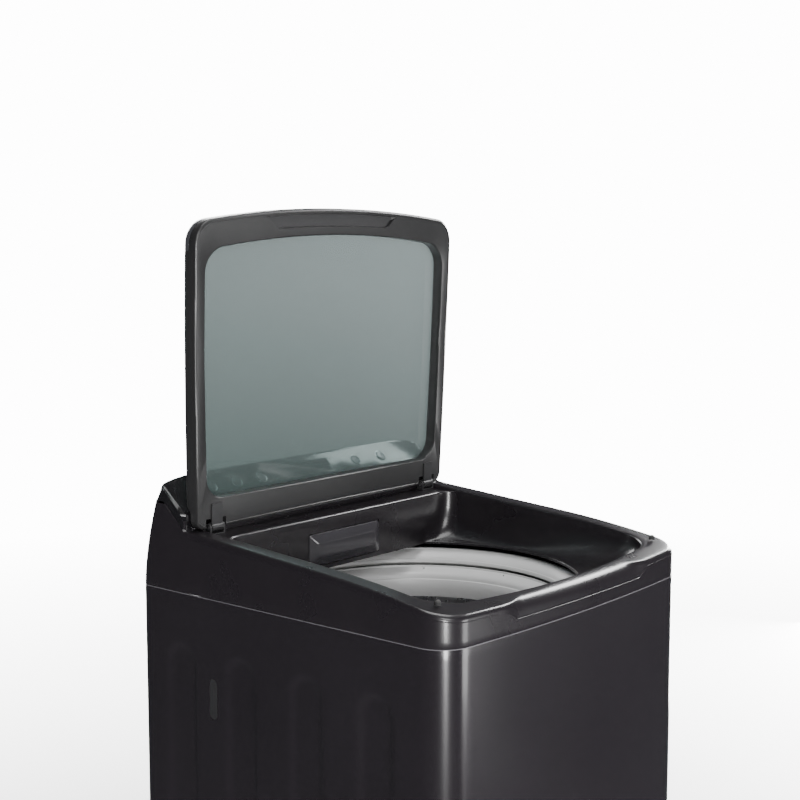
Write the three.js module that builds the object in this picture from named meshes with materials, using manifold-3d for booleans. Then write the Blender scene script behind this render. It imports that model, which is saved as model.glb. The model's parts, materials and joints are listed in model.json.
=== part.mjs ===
// Top load washing machine: cabinet, top cover with its bowl, glass lid, tub, basket and drive.
// Millimetres. X is to the right seen from the front, -Y is the front, +Z is up.
// The origin lies on the floor, under the middle of the cabinet.

import * as THREE from "three";
import { mergeVertices } from "three/addons/utils/BufferGeometryUtils.js";
import Module from "manifold-3d";

const wasm = await Module();
wasm.setup();

// Clearances
const gap = 0.3;
const slideGap = 1.0;
const throughCut = 40;

// Cabinet
const width = 560;
const depth = 570;
const cabinetBottom = 30;
const seamHeight = 815;
const cabinetWall = 1.2;
const frontBow = 15;
const frontRadius = 40;
const rearRadius = 18;
const topFlange = 9;
const serviceMargin = 66;
const serviceBottom = 140;
const serviceTopMargin = 115;
const drainNotch = { x: 95, halfWidth: 32, top: 105 };

// Top cover: its rim rises to the rear, and a console ridge crosses the back
const coverWall = 3.5;
const rimRear = 85.5;
const rimSlope = 0.075;
const frontFall = 14;
const frontFallStart = -60;
const deckHeight = 78;
const deckDepth = 47;
const ridgeDepth = 93;
const consoleAngle = 43;
const consoleFace = 22;
const consoleTop = 156;
const consoleEndDrop = 10;
const consoleFlatHalf = 205;
const rearLean = 42;
const rearLeanPower = 1.63;

// Bowl in the top cover, and the round mouth at its bottom
const rimWidth = 30;
const rimFrontWidth = 27;
const bowlBow = 24;
const bowlFrontRadius = 46;
const bowlRearRadius = 12;
const mouthInset = 5;

// Finger scoop in the front of the rim
const scoopHalfWidth = 150;
const scoopDepth = 20;
const scoopLedge = 17;

// Lid, measured from its hinge axis: t runs to its front edge and n out of its outer face
const hingeBehind = 8;
const lidOpenAngle = 88;
const lidThickness = 22;
const lidSetback = 20;
const lidArch = 19;
const lidSideSetback = 13;
const lidBulge = 9;
const lidFrontRadius = 30;
const lidRearRadius = 12;
const lidRearEdge = 1;
const lidClearance = 1.4;
const axisRaise = 2;
const hingeStripLength = 27;
const hingeStripThickness = 14;
const lidBorderSide = 19;
const lidBorderFront = 39;
const lidBorderRear = 40;
const lidWindowRadius = 32;
const glassThickness = 4;
const lidEdgeWall = 2.5;
const trimWidth = 8;
const trimHeight = 9;
const trimWrap = 34;

// Lid hinges
const hingeInset = 47;
const pinRadius = 3;
const pinClearance = 0.4;
const knuckleRadius = 6.6;
const knuckleHalf = 10;
const earThickness = 3;
const armLength = 34;

// Detergent drawer
const drawerHalfWidth = 78;
const drawerBottom = 6.5;
const drawerTop = 55;
const drawerDepth = 96;
const drawerWall = 2.2;
const drawerFrontThick = 11;
const drawerBevel = 9;
const housingWall = 2.5;

// Tub, basket and rings
const tubY = 6;
const tubSideRoom = 22;
const tubWall = 3.5;
const tubTopDrop = 29;
const basketGap = 26;
const basketLift = 24;
const basketWall = 1.0;
const balanceHeight = 46;
const balanceDepth = 32;
const balanceDrop = 32;
const ringLap = 11;
const crestInset = 15;
const ringDrop = 8;
const pulsatorGap = 64;
const hubHole = 34;
const shaftRadius = 9;
const tubeOuter = 26;

// Drive under the tub
const motorShareX = 0.488;
const motorShareY = 0.457;
const motorRadius = 58;
const motorHeight = 98;
const bigPulleyRadius = 92;
const smallPulleyRadius = 22;
const pulleyBottom = 96;
const pulleyHeight = 16;
const beltThickness = 6;
const gearCaseRadius = 66;
const plateThickness = 6;
const plateShare = 0.589;
const pulleyHub = 8;
const motorClear = 36;

// Suspension
const rodClear = 33.3;
const rodRadius = 3.5;
const lugRise = 68;
const lugThickness = 8;
const springRadius = 12;
const springWire = 2;
const springTurns = 5;
const springLength = 84;
const gussetThickness = 4;
const gussetDrop = 14;

// Feet
const footSideInset = 40;
const footFrontInset = 57;
const footRearInset = 43;
const footRadius = 24;
const stemRadius = 5.5;

// Values worked out from the ones above
const halfWidth = width / 2;
const rearY = depth / 2;
const frontY = -depth / 2 + frontBow;
const coverBottom = seamHeight + gap;
const serviceHalfWidth = halfWidth - serviceMargin;
const serviceTop = seamHeight - serviceTopMargin;
const consoleFoot = rearY - ridgeDepth;
const deckFront = consoleFoot - deckDepth;
const hingeSetback = lidThickness - hingeBehind;
const hingeY = consoleFoot - hingeSetback;
const hingeX = halfWidth - hingeInset;
const slopeTan = Math.tan(THREE.MathUtils.degToRad(consoleAngle));
const capTop = rimAt(consoleFoot) + consoleFace;
const bowlHalfWidth = halfWidth - rimWidth;
const bowlFront = depth / 2 - rimFrontWidth;
const axisZ = seamHeight + rimAt(hingeY) + lidClearance + axisRaise;
const lidLength = hingeY + depth / 2 - lidSetback;
const lidRearHalf = halfWidth - lidSideSetback;
const lidUnder = -axisRaise;
const lidOuter = lidUnder + lidThickness;
const tubRadius = Math.min(width, depth + 10) / 2 - tubSideRoom;
const pulleyTop = pulleyBottom + pulleyHeight;
const motorTop = pulleyTop + pulleyHub + motorClear + motorHeight;
const plateTop = motorTop + gap + plateThickness;
const tubBottom = plateTop + 2;
const tubTop = seamHeight - tubTopDrop;
const motorX = -Math.round(motorShareX * tubRadius);
const motorY = tubY + Math.round(motorShareY * tubRadius);
const tubDistance = Math.hypot(motorX, motorY - tubY);
const basketRadius = tubRadius - basketGap;
const basketBottom = tubBottom + basketLift;
const balanceTop = seamHeight - balanceDrop;
const balanceInner = basketRadius - balanceDepth;
const ringInner = basketRadius - ringLap;
const ringCrest = tubRadius - crestInset;
const ringTop = seamHeight - ringDrop;
const mouthRadius = ringCrest - mouthInset;
const pulsatorRadius = basketRadius - pulsatorGap;
const rodReach = (tubRadius + rodClear) * Math.SQRT1_2;
const lugBottom = tubBottom + lugRise;
const gussetTop = seamHeight - gussetDrop;
const footX = halfWidth - footSideInset;
const footFrontY = -depth / 2 + footFrontInset;
const footRearY = rearY - footRearInset;

// Height of the rim above the seam, at a distance y from the middle
function rimAt(y) {
  const fall = Math.max(0, frontFallStart - y) / (frontFallStart + depth / 2);
  return rimRear - rimSlope * (hingeY - y) - frontFall * fall * fall;
}

// How far the back leans forward at a height z above the seam
function backAt(z) {
  return depth / 2 - rearLean * Math.pow(Math.max(0, z) / consoleTop, rearLeanPower);
}

// ---- shapes

// Outline of a rounded box seen from above, anticlockwise from the middle of its front edge.
function roundedLoop(half, front, rear, rFront, rRear, steps = { arc: 5, edge: 6, side: 1 }) {
  const points = [];
  const line = (x0, y0, x1, y1, n) => {
    for (let i = 0; i < n; i++) points.push([x0 + ((x1 - x0) * i) / n, y0 + ((y1 - y0) * i) / n]);
  };
  const arc = (cx, cy, r, from) => {
    for (let i = 0; i < steps.arc; i++) {
      const a = from + ((Math.PI / 2) * i) / steps.arc;
      points.push([cx + r * Math.cos(a), cy + r * Math.sin(a)]);
    }
  };
  line(0, front, half - rFront, front, steps.edge);
  arc(half - rFront, front + rFront, rFront, -Math.PI / 2);
  line(half, front + rFront, half, rear - rRear, steps.side);
  arc(half - rRear, rear - rRear, rRear, 0);
  line(half - rRear, rear, -half + rRear, rear, steps.edge);
  arc(-half + rRear, rear - rRear, rRear, Math.PI / 2);
  line(-half, rear - rRear, -half, front + rFront, steps.side);
  arc(-half + rFront, front + rFront, rFront, Math.PI);
  line(-half + rFront, front, 0, front, steps.edge);
  return points;
}

// Pushes the front edge of an outline forward into a shallow arch
function bowed(points, half, front, bow) {
  return points.map(([x, y]) => {
    const share = Math.min(1, Math.max(0, y / front));
    return [x, y - bow * (1 - (x / half) ** 2) * share ** 3];
  });
}

function cabinetLoop(inset) {
  const half = halfWidth - inset;
  const r = Math.max(4, frontRadius - inset);
  const rr = Math.max(3, rearRadius - inset);
  return bowed(roundedLoop(half, frontY + inset, rearY - inset, r, rr), half, frontY, frontBow);
}

function bowlLoop(grow) {
  const half = bowlHalfWidth + grow;
  const front = -bowlFront + bowlBow - grow;
  const steps = { arc: 8, edge: 10, side: 4 };
  const rf = bowlFrontRadius + grow;
  const loop = roundedLoop(half, front, deckFront + grow, rf, bowlRearRadius + grow, steps);
  return bowed(loop, half, front, bowlBow);
}

// Outline of the lid in its own frame, where the front is -Y and the hinge axis is the origin
function lidLoop(inset, rear = lidRearEdge, arc = 4) {
  const half = lidRearHalf - inset;
  const front = -(lidLength - lidArch) + inset;
  const r = Math.max(5, lidFrontRadius - inset);
  const rr = Math.max(3, lidRearRadius - inset);
  const loop = roundedLoop(half, front, rear - inset, r, rr, { arc, edge: 7, side: 6 });
  return bowed(loop, half, front, lidArch).map(([x, y]) => {
    const share = Math.min(1, Math.max(0, -y / lidLength));
    return [x * (1 + (lidBulge / half) * Math.sin((share * Math.PI) / 1.6)), y];
  });
}

function lidWindowLoop(grow) {
  const half = lidRearHalf - lidBorderSide + grow;
  const front = -(lidLength - lidArch) + lidBorderFront - grow;
  const r = lidWindowRadius + grow;
  const loop = roundedLoop(half, front, -lidBorderRear + grow, r, r, { arc: 4, edge: 7, side: 6 });
  return bowed(loop, half, front, lidArch).map(([x, y]) => {
    const share = Math.min(1, Math.max(0, -y / lidLength));
    return [x * (1 + (lidBulge / half) * Math.sin((share * Math.PI) / 1.6)), y];
  });
}

// A closed mesh from loops of points that have equal counts, with a cap on the first and the last
function loft(loops) {
  const count = loops[0].length;
  const positions = loops.flat(2);
  const index = [];
  loops.slice(1).forEach((_, level) => {
    for (let i = 0; i < count; i++) {
      const a = level * count + i;
      const b = level * count + ((i + 1) % count);
      index.push(a, b, b + count, a, b + count, a + count);
    }
  });
  [0, loops.length - 1].forEach((level) => {
    const loop = loops[level];
    const centre = positions.length / 3;
    const mean = [0, 1, 2].map((k) => loop.reduce((sum, p) => sum + p[k], 0) / count);
    positions.push(...mean);
    for (let i = 0; i < count; i++) {
      const a = level * count + i;
      const b = level * count + ((i + 1) % count);
      if (level === 0) index.push(centre, b, a);
      else index.push(centre, a, b);
    }
  });
  const geometry = new THREE.BufferGeometry();
  geometry.setAttribute("position", new THREE.Float32BufferAttribute(positions, 3));
  geometry.setIndex(index);
  return geometry;
}

const lift = (loop, z) => loop.map(([x, y]) => [x, y, z]);

function prism(loop, z0, z1) {
  return loft([lift(loop, z0), lift(loop, z1)]);
}

// A section in Y and Z pulled along X
function alongX(section, x0, x1) {
  const shape = new THREE.Shape(section.map(([y, z]) => new THREE.Vector2(y, z)));
  const geometry = new THREE.ExtrudeGeometry(shape, { depth: x1 - x0, bevelEnabled: false });
  const basis = new THREE.Matrix4().set(0, 0, 1, x0, 1, 0, 0, 0, 0, 1, 0, 0, 0, 0, 0, 1);
  return geometry.applyMatrix4(basis);
}

// A section in X and Z pulled along Y
function alongY(section, y0, y1) {
  const shape = new THREE.Shape(section.map(([x, z]) => new THREE.Vector2(x, z)));
  const geometry = new THREE.ExtrudeGeometry(shape, { depth: y1 - y0, bevelEnabled: false });
  const basis = new THREE.Matrix4().set(1, 0, 0, 0, 0, 0, -1, y1, 0, 1, 0, 0, 0, 0, 0, 1);
  return geometry.applyMatrix4(basis);
}

// A profile of [radius, height] pairs turned round the vertical axis
function turned(profile, segments = 36) {
  const points = profile.map(([r, z]) => new THREE.Vector2(r, z));
  return new THREE.LatheGeometry(points, segments).rotateX(Math.PI / 2);
}

function disc(radius, z0, z1, segments = 28) {
  return turned([[0, z0], [radius, z0], [radius, z1], [0, z1]], segments);
}

function block(x0, x1, y0, y1, z0, z1) {
  const geometry = new THREE.BoxGeometry(x1 - x0, y1 - y0, z1 - z0);
  return geometry.translate((x0 + x1) / 2, (y0 + y1) / 2, (z0 + z1) / 2);
}

function rodAlongX(radius, x0, x1, segments = 14) {
  const geometry = new THREE.CylinderGeometry(radius, radius, x1 - x0, segments);
  return geometry.rotateZ(Math.PI / 2).translate((x0 + x1) / 2, 0, 0);
}

// ---- joining and cutting

function solid(geometry) {
  const bare = geometry.clone();
  bare.deleteAttribute("normal");
  bare.deleteAttribute("uv");
  const merged = mergeVertices(bare, 1e-4);
  const made = new wasm.Manifold(
    new wasm.Mesh({
      numProp: 3,
      vertProperties: new Float32Array(merged.attributes.position.array),
      triVerts: new Uint32Array(merged.index.array),
    }),
  );
  return made;
}

const join = (...items) => items.reduce((sum, item) => sum.add(item));
const cut = (body, ...tools) => tools.reduce((left, tool) => left.subtract(tool), body);

const root = new THREE.Group();
const lid = new THREE.Group();
lid.position.set(0, hingeY, axisZ);
lid.rotation.x = -THREE.MathUtils.degToRad(lidOpenAngle);
const tubAxis = new THREE.Group();
tubAxis.position.set(0, tubY, 0);
const consoleFaceGroup = new THREE.Group();
consoleFaceGroup.rotation.x = THREE.MathUtils.degToRad(consoleAngle);
root.add(lid, tubAxis, consoleFaceGroup);

const finish = (color, roughness, metalness = 0) => ({ color, roughness, metalness });
const looks = {
  cover: finish(0x242127, 0.28),
  console: finish(0x161518, 0.12),
  paint: finish(0x28252b, 0.32, 0.25),
  frame: finish(0x383838, 0.45),
  glass: finish(0x6b7876, 0.08),
  chrome: finish(0xd0d2d4, 0.15, 1),
  satin: finish(0x8b8b8d, 0.3, 0.9),
  ring: finish(0xb9b9b7, 0.4),
  steel: finish(0xa9abad, 0.3, 1),
  zinc: finish(0x8f9194, 0.45, 0.9),
  plastic: finish(0x3a3a3c, 0.6),
  pale: finish(0xc9cac8, 0.5),
  rubber: finish(0x1a1a1a, 0.85),
  board: finish(0x2c5a3c, 0.6),
  copper: finish(0x6e4a33, 0.5, 0.6),
};

function part(name, shape, look, group = root) {
  let geometry = shape;
  if (shape instanceof wasm.Manifold) {
    const { vertProperties, triVerts } = shape.getMesh();
    geometry = new THREE.BufferGeometry();
    geometry.setAttribute("position", new THREE.Float32BufferAttribute(vertProperties, 3));
    geometry.setIndex([...triVerts]);
    geometry = geometry.toNonIndexed();
    geometry.computeVertexNormals();
  }
  const material = new THREE.MeshStandardMaterial(look);
  const mesh = new THREE.Mesh(geometry, material);
  mesh.name = name;
  group.add(mesh);
  return mesh;
}

const corners = [
  ["front_left", -1, -1],
  ["front_right", 1, -1],
  ["rear_left", -1, 1],
  ["rear_right", 1, 1],
];
const sides = [
  ["left", -1],
  ["right", 1],
];

// ---- cabinet

// The wrapper: four walls, an inward flange under the cover and a gusset in each corner for a rod.
function cabinetShell() {
  const outer = solid(prism(cabinetLoop(0), cabinetBottom, seamHeight));
  const room = solid(prism(cabinetLoop(cabinetWall), cabinetBottom - 1, seamHeight - cabinetWall));
  const mouth = prism(cabinetLoop(topFlange), seamHeight - throughCut, seamHeight + 1);
  const service = block(
    -serviceHalfWidth,
    serviceHalfWidth,
    rearY - throughCut / 4,
    rearY + 1,
    serviceBottom,
    serviceTop,
  );
  const notch = block(
    drainNotch.x - drainNotch.halfWidth,
    drainNotch.x + drainNotch.halfWidth,
    rearY - throughCut / 4,
    rearY + 1,
    cabinetBottom - 1,
    drainNotch.top,
  );
  const shell = cut(outer, room, solid(mouth), solid(service), solid(notch));
  const ribs = corners.map(([, sx, sy]) => gusset(sx, sy));
  return join(shell, ...ribs);
}

// A corner plate that carries one suspension rod
function gusset(sx, sy) {
  const reach = rodReach - 26;
  const x = [sx * reach, sx * halfWidth].sort((a, b) => a - b);
  const y = [tubY + sy * reach, sy * (rearY + 2)].sort((a, b) => a - b);
  const plate = solid(block(x[0], x[1], y[0], y[1], gussetTop - gussetThickness, gussetTop));
  const inside = solid(prism(cabinetLoop(cabinetWall / 2), cabinetBottom, seamHeight));
  const tubRoom = solid(disc(tubRadius + 12, cabinetBottom, seamHeight, 64).translate(0, tubY, 0));
  const bore = solid(disc(rodRadius + 1, cabinetBottom, seamHeight, 16));
  const hole = bore.translate([sx * rodReach, tubY + sy * rodReach, 0]);
  return cut(plate.intersect(inside), tubRoom, hole);
}

part("cabinet_shell", cabinetShell(), looks.paint);

// Plate behind the service opening, with a flange that laps over its edge from inside
function rearPanel() {
  const lap = 10;
  const plateY = rearY - gap;
  const plate = block(
    -serviceHalfWidth + gap,
    serviceHalfWidth - gap,
    plateY - 2 * cabinetWall,
    plateY,
    serviceBottom + gap,
    serviceTop - gap,
  );
  const flange = block(
    -serviceHalfWidth - lap,
    serviceHalfWidth + lap,
    rearY - 2 * cabinetWall - gap,
    rearY - cabinetWall - gap,
    serviceBottom - lap,
    serviceTop + lap,
  );
  return join(solid(plate), solid(flange));
}

part("rear_panel", rearPanel(), looks.zinc);

const baseTop = 74;
const baseBottom = 24;
const baseShelf = 62;
const baseWall = 3;

// Moulded base: an upright wall inside the cabinet, and a shelf that the feet screw into
function baseFrame() {
  const clear = cabinetWall + gap;
  const outer = solid(prism(cabinetLoop(clear), baseBottom, baseTop));
  const above = solid(prism(cabinetLoop(clear + baseWall), baseBottom + baseWall, baseTop + 1));
  const through = solid(prism(cabinetLoop(baseShelf), baseBottom - 1, baseTop + 1));
  const bores = corners.map(([, sx, sy]) => {
    const y = sy < 0 ? footFrontY : footRearY;
    return solid(disc(stemRadius + 0.5, 0, baseTop, 20)).translate([sx * footX, y, 0]);
  });
  const pipeRoom = block(
    drainNotch.x - drainNotch.halfWidth,
    drainNotch.x + drainNotch.halfWidth,
    rearY - throughCut / 2,
    rearY + 1,
    baseBottom + baseWall,
    baseTop + 1,
  );
  return cut(outer, above, through, ...bores, solid(pipeRoom));
}

part("base_frame", baseFrame(), looks.plastic);

corners.forEach(([place, sx, sy]) => {
  const top = baseBottom - 0.4;
  const profile = [
    [0, 0],
    [footRadius - 2, 0],
    [footRadius, 2],
    [footRadius, 9],
    [footRadius - 8, 13],
    [11, 13],
    [11, top],
    [stemRadius, top],
    [stemRadius, 62],
    [0, 62],
  ];
  const mesh = part("foot_" + place, turned(profile, 14), looks.rubber);
  mesh.position.set(sx * footX, sy < 0 ? footFrontY : footRearY, 0);
});

// ---- top cover

// Side view of the cover, lowered by drop: the rim, the deck edge, the ridge and the leaning back
function coverSection(drop) {
  const front = -depth / 2 + drop;
  const points = [[front, 0 - (drop > 0 ? 1 : 0)]];
  const rimSteps = 10;
  for (let i = 0; i <= rimSteps; i++) {
    const y = front + ((consoleFoot - front) * i) / rimSteps;
    points.push([y, rimAt(y) - drop]);
  }
  const ridgeTop = consoleTop - 32;
  const ridgeY = consoleFoot + (ridgeTop - rimAt(consoleFoot)) / slopeTan;
  points.push([ridgeY + drop / slopeTan, ridgeTop - drop]);
  const backSteps = 6;
  for (let i = backSteps; i >= 0; i--) {
    const z = ((ridgeTop - drop) * i) / backSteps;
    points.push([backAt(z) - drop, z]);
  }
  points.push([rearY - drop, -(drop > 0 ? 1 : 0)]);
  const apart = (p, q) => Math.hypot(p[0] - q[0], p[1] - q[1]) > 0.01;
  const unique = points.filter((p, i) => i === 0 || apart(p, points[i - 1]));
  return unique.map(([y, z]) => [y, z + coverBottom]);
}

function coverBlock(drop) {
  const body = solid(alongX(coverSection(drop), -halfWidth, halfWidth));
  return body.intersect(solid(prism(cabinetLoop(drop), coverBottom - 2, coverBottom + 200)));
}

// Distance from the mouth's axis to a loop, at an angle
function rayLength(loop, angle) {
  const dx = Math.cos(angle);
  const dy = Math.sin(angle);
  let best = 0;
  loop.forEach((p, i) => {
    const q = loop[(i + 1) % loop.length];
    const ex = q[0] - p[0];
    const ey = q[1] - p[1];
    const det = ex * dy - ey * dx;
    if (Math.abs(det) < 1e-9) return;
    const px = p[0];
    const py = p[1] - tubY;
    const t = (ex * py - ey * px) / det;
    const s = (dx * py - dy * px) / det;
    if (t > 0 && s >= -1e-9 && s <= 1 + 1e-9) best = Math.max(best, t);
  });
  return best;
}

// The bowl as a solid: straight above the rim, then sweeping in to the round mouth
function bowlSolid(grow) {
  const count = 64;
  const levels = 4;
  const outline = bowlLoop(grow);
  const at = (i) => (2 * Math.PI * i) / count;
  const top = [];
  const bottom = [];
  for (let i = 0; i < count; i++) {
    const angle = at(i);
    top.push(rayLength(outline, angle));
    const back = (deckFront + grow - tubY) / Math.max(0.01, Math.sin(angle));
    bottom.push(Math.min(mouthRadius + grow, Math.sin(angle) > 0.01 ? back : 1e9));
  }
  const place = (radii, heights) =>
    radii.map((r, i) => [r * Math.cos(at(i)), tubY + r * Math.sin(at(i)), heights(i)]);
  const rimZ = (i) => coverBottom + rimAt(tubY + top[i] * Math.sin(at(i)));
  const low = coverBottom + 3 - grow;
  const loops = [place(bottom, () => coverBottom - 3)];
  for (let k = levels; k >= 0; k--) {
    const turn = ((k / levels) * Math.PI) / 2;
    const radii = top.map((r, i) => r - (r - bottom[i]) * (1 - Math.cos(turn)));
    loops.push(place(radii, (i) => rimZ(i) - grow - (rimZ(i) - grow - low) * Math.sin(turn)));
  }
  loops.push(place(top, () => coverBottom + 130));
  return solid(loft(loops));
}

// The finger scoop: a rounded ramp down to a ledge
function scoopSolid(grow) {
  const top = rimAt(-depth / 2 + scoopDepth);
  const edge = -depth / 2 + scoopDepth + grow;
  const section = [[-depth / 2 - 20, scoopLedge - grow]];
  const steps = 6;
  for (let i = 0; i <= steps; i++) {
    const turn = ((i / steps) * Math.PI) / 2;
    const y = edge - (scoopDepth - 1.5) * Math.cos(turn);
    section.push([y, scoopLedge - grow + (top - scoopLedge) * Math.sin(turn)]);
  }
  section.push([edge, top + 60], [-depth / 2 - 20, top + 60]);
  const half = scoopHalfWidth + grow;
  return solid(alongX(section.map(([y, z]) => [y, z + coverBottom]), -half, half));
}

const drawerHole = {
  half: drawerHalfWidth + slideGap,
  bottom: drawerBottom - slideGap,
  top: drawerTop + slideGap,
};
const inletHalf = 46;
const inletX = -150;
const inletBottom = 22;
const inletTop = 66;
const glandX = 178;
const glandZ = 44;
const glandRadius = 8;

function topCover() {
  const skin = coverBlock(0);
  const hollow = cut(coverBlock(coverWall), bowlSolid(coverWall), scoopSolid(coverWall));
  const deckCut = block(
    -bowlHalfWidth,
    bowlHalfWidth,
    deckFront - 12,
    consoleFoot,
    coverBottom + deckHeight,
    coverBottom + 200,
  );
  const deckPlate = block(
    -bowlHalfWidth - coverWall,
    bowlHalfWidth + coverWall,
    deckFront,
    consoleFoot + coverWall,
    coverBottom + deckHeight - coverWall,
    coverBottom + deckHeight + 12,
  );
  const drawerWay = block(
    -drawerHole.half,
    drawerHole.half,
    deckFront - 5,
    deckFront + coverWall + 2,
    coverBottom + drawerHole.bottom,
    coverBottom + drawerHole.top,
  );
  const inletWay = block(
    inletX - inletHalf,
    inletX + inletHalf,
    rearY - throughCut,
    rearY + 1,
    coverBottom + inletBottom,
    coverBottom + inletTop,
  );
  const glandWay = new THREE.CylinderGeometry(glandRadius + gap, glandRadius + gap, 60, 20);
  glandWay.translate(glandX, rearY, coverBottom + glandZ);
  const shell = cut(skin, cut(hollow, solid(deckPlate)), bowlSolid(0), scoopSolid(0));
  return cut(shell, solid(deckCut), solid(drawerWay), solid(inletWay), solid(glandWay));
}

part("top_cover", topCover(), looks.cover);

// ---- console

const buttonRadius = 9;
const buttonTravel = 1.5;
const buttonPocket = 8;
const displayHalf = 52;
const displayHalfHeight = 15;
const displayThickness = 3;
const buttonPlaces = [
  ["power_button", -200],
  ["water_level_button", -150],
  ["program_button", -100],
  ["temperature_button", 110],
  ["start_pause_button", 170],
];

// The glossy cap lies over the ridge: its face slopes back, and its ends fall away a little
function consoleCap() {
  const under = gap;
  const foot = rimAt(consoleFoot);
  const ridgeTop = consoleTop - 32;
  const ridgeY = consoleFoot + (ridgeTop - foot) / slopeTan;
  const section = [
    [consoleFoot + gap, foot + under + gap],
    [ridgeY, ridgeTop + under + gap / 2],
    [backAt(ridgeTop), ridgeTop + under + gap / 2],
  ];
  for (let i = 1; i <= 4; i++) {
    const z = ridgeTop + ((consoleTop - 4 - ridgeTop) * i) / 4;
    section.push([backAt(z), z]);
  }
  const faceTop = consoleTop - 3;
  const faceTopY = consoleFoot + (faceTop - capTop) / slopeTan;
  section.push([(faceTopY + backAt(consoleTop - 4)) / 2, consoleTop]);
  section.push([faceTopY, faceTop]);
  section.push([consoleFoot, capTop]);
  const shape = section.map(([y, z]) => [y, z + coverBottom]);
  const body = solid(alongX(shape, -halfWidth, halfWidth));
  const front = [[-halfWidth, coverBottom]];
  const steps = 8;
  const topAt = (x) => {
    const past = Math.max(0, Math.abs(x) - consoleFlatHalf) / (halfWidth - consoleFlatHalf);
    return coverBottom + consoleTop - consoleEndDrop * past * past;
  };
  front.push([halfWidth, coverBottom]);
  for (let i = 0; i <= steps; i++) {
    const x = halfWidth - ((halfWidth - consoleFlatHalf) * i) / steps;
    front.push([x, topAt(x)]);
  }
  for (let i = 0; i <= steps; i++) {
    const x = -consoleFlatHalf - ((halfWidth - consoleFlatHalf) * i) / steps;
    front.push([x, topAt(x)]);
  }
  const arched = body.intersect(solid(alongY(front, 0, rearY + 1)));
  const plan = solid(prism(cabinetLoop(0), coverBottom, coverBottom + 200));
  return cut(arched.intersect(plan), ...faceCuts());
}

// Place on the sloping face, in world axes
const faceOrigin = new THREE.Vector3(0, consoleFoot + 30, coverBottom + capTop + 30 * slopeTan);
consoleFaceGroup.position.copy(faceOrigin);

function faceCuts() {
  const turn = new THREE.Matrix4().makeRotationX(THREE.MathUtils.degToRad(consoleAngle));
  turn.setPosition(faceOrigin);
  const window = block(
    -displayHalf - gap,
    displayHalf + gap,
    -displayHalfHeight - gap,
    displayHalfHeight + gap,
    -displayThickness - gap,
    10,
  );
  const pockets = buttonPlaces.map(([, x]) =>
    disc(buttonRadius + gap, -buttonPocket, 10, 20).translate(x, 0, 0),
  );
  return [window, ...pockets].map((g) => solid(g.applyMatrix4(turn)));
}

part("console_cap", consoleCap(), looks.console);

const display = block(
  -displayHalf,
  displayHalf,
  -displayHalfHeight,
  displayHalfHeight,
  -displayThickness,
  0.2,
);
part("display_window", display, looks.glass, consoleFaceGroup);

buttonPlaces.forEach(([name, x]) => {
  const floor = -buttonPocket + buttonTravel + gap;
  const profile = [
    [0, floor],
    [buttonRadius - 0.2, floor],
    [buttonRadius - 0.2, 1],
    [buttonRadius - 1.2, 1.8],
    [0, 1.8],
  ];
  const mesh = part(name, turned(profile, 20), looks.satin, consoleFaceGroup);
  mesh.position.x = x;
});

// Circuit board in the ridge, under the sloping face
const boardDepth = consoleFace;
const board = block(-halfWidth + 65, halfWidth - 95, -33, -3, -boardDepth - 8, -boardDepth);
part("control_board", board, looks.board, consoleFaceGroup);

// ---- detergent drawer and its housing

function drawerHousing() {
  const y0 = deckFront + coverWall + gap;
  const y1 = y0 + drawerDepth + 4;
  const half = drawerHole.half;
  const low = coverBottom + drawerHole.bottom;
  const high = coverBottom + drawerHole.top;
  const w = housingWall;
  const box = block(-half - w, half + w, y0, y1, low - w, high + w);
  const room = block(-half, half, y0 - 1, y1 - w, low, high);
  return cut(solid(box), solid(room));
}

part("drawer_housing", drawerHousing(), looks.plastic);

function drawer() {
  const half = drawerHalfWidth;
  const low = coverBottom + drawerBottom;
  const high = coverBottom + drawerTop;
  const face = deckFront - drawerFrontThick + 4;
  const end = deckFront + drawerDepth;
  const w = drawerWall;
  const b = drawerBevel;
  const rect = (inset, y) => [
    [-half + inset, y, low + inset],
    [half - inset, y, low + inset],
    [half - inset, y, high - inset],
    [-half + inset, y, high - inset],
  ];
  const rings = [rect(b, face), rect(0, face + b / 2), rect(0, deckFront + 4)];
  const front = solid(loft(rings.map((r) => r.slice().reverse())));
  const tray = solid(block(-half, half, deckFront + 2, end, low, high - 6));
  const wells = [
    [-half + w, -8],
    [-8 + w, half - w],
  ].map(([x0, x1]) => solid(block(x0, x1, deckFront + 4 + w, end - w, low + w, high + 1)));
  return cut(join(front, tray), ...wells);
}

part("detergent_drawer", drawer(), looks.plastic);

// ---- lid

const notchHalf = 19;

function lidFrame() {
  const body = solid(prism(lidLoop(0), lidUnder, lidOuter));
  const window = solid(prism(lidWindowLoop(0), lidUnder - 1, lidOuter + 1));
  const glassSeat = solid(
    prism(lidLoop(lidEdgeWall, -hingeStripLength), lidOuter - glassThickness - gap, lidOuter + 1),
  );
  const thinRear = solid(
    block(
      -width,
      width,
      -hingeStripLength,
      lidRearEdge + 5,
      lidUnder + hingeStripThickness,
      lidOuter + 1,
    ),
  );
  const notches = sides.map(([, s]) =>
    solid(
      block(
        s * hingeX - notchHalf,
        s * hingeX + notchHalf,
        -knuckleRadius - 6,
        lidRearEdge + 5,
        lidUnder - 1,
        lidOuter + 1,
      ),
    ),
  );
  return cut(body, window, glassSeat, thinRear, trimRoom(gap), ...notches);
}

// The band round the front edge that the bright trim fills, grown by a clearance
function trimRoom(grow) {
  const low = lidOuter - trimHeight - grow;
  const outer = solid(prism(lidLoop(grow > 0 ? -5 : 0), low, lidOuter + grow * 4 + 0.2));
  const inner = solid(prism(lidLoop(trimWidth + grow), low - 1, lidOuter + 5));
  const back = -(lidLength - lidArch) + trimWrap + grow;
  const keep = solid(block(-width, width, -lidLength * 2, back, low - 2, lidOuter + 6));
  return cut(outer, inner).intersect(keep);
}

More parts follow.
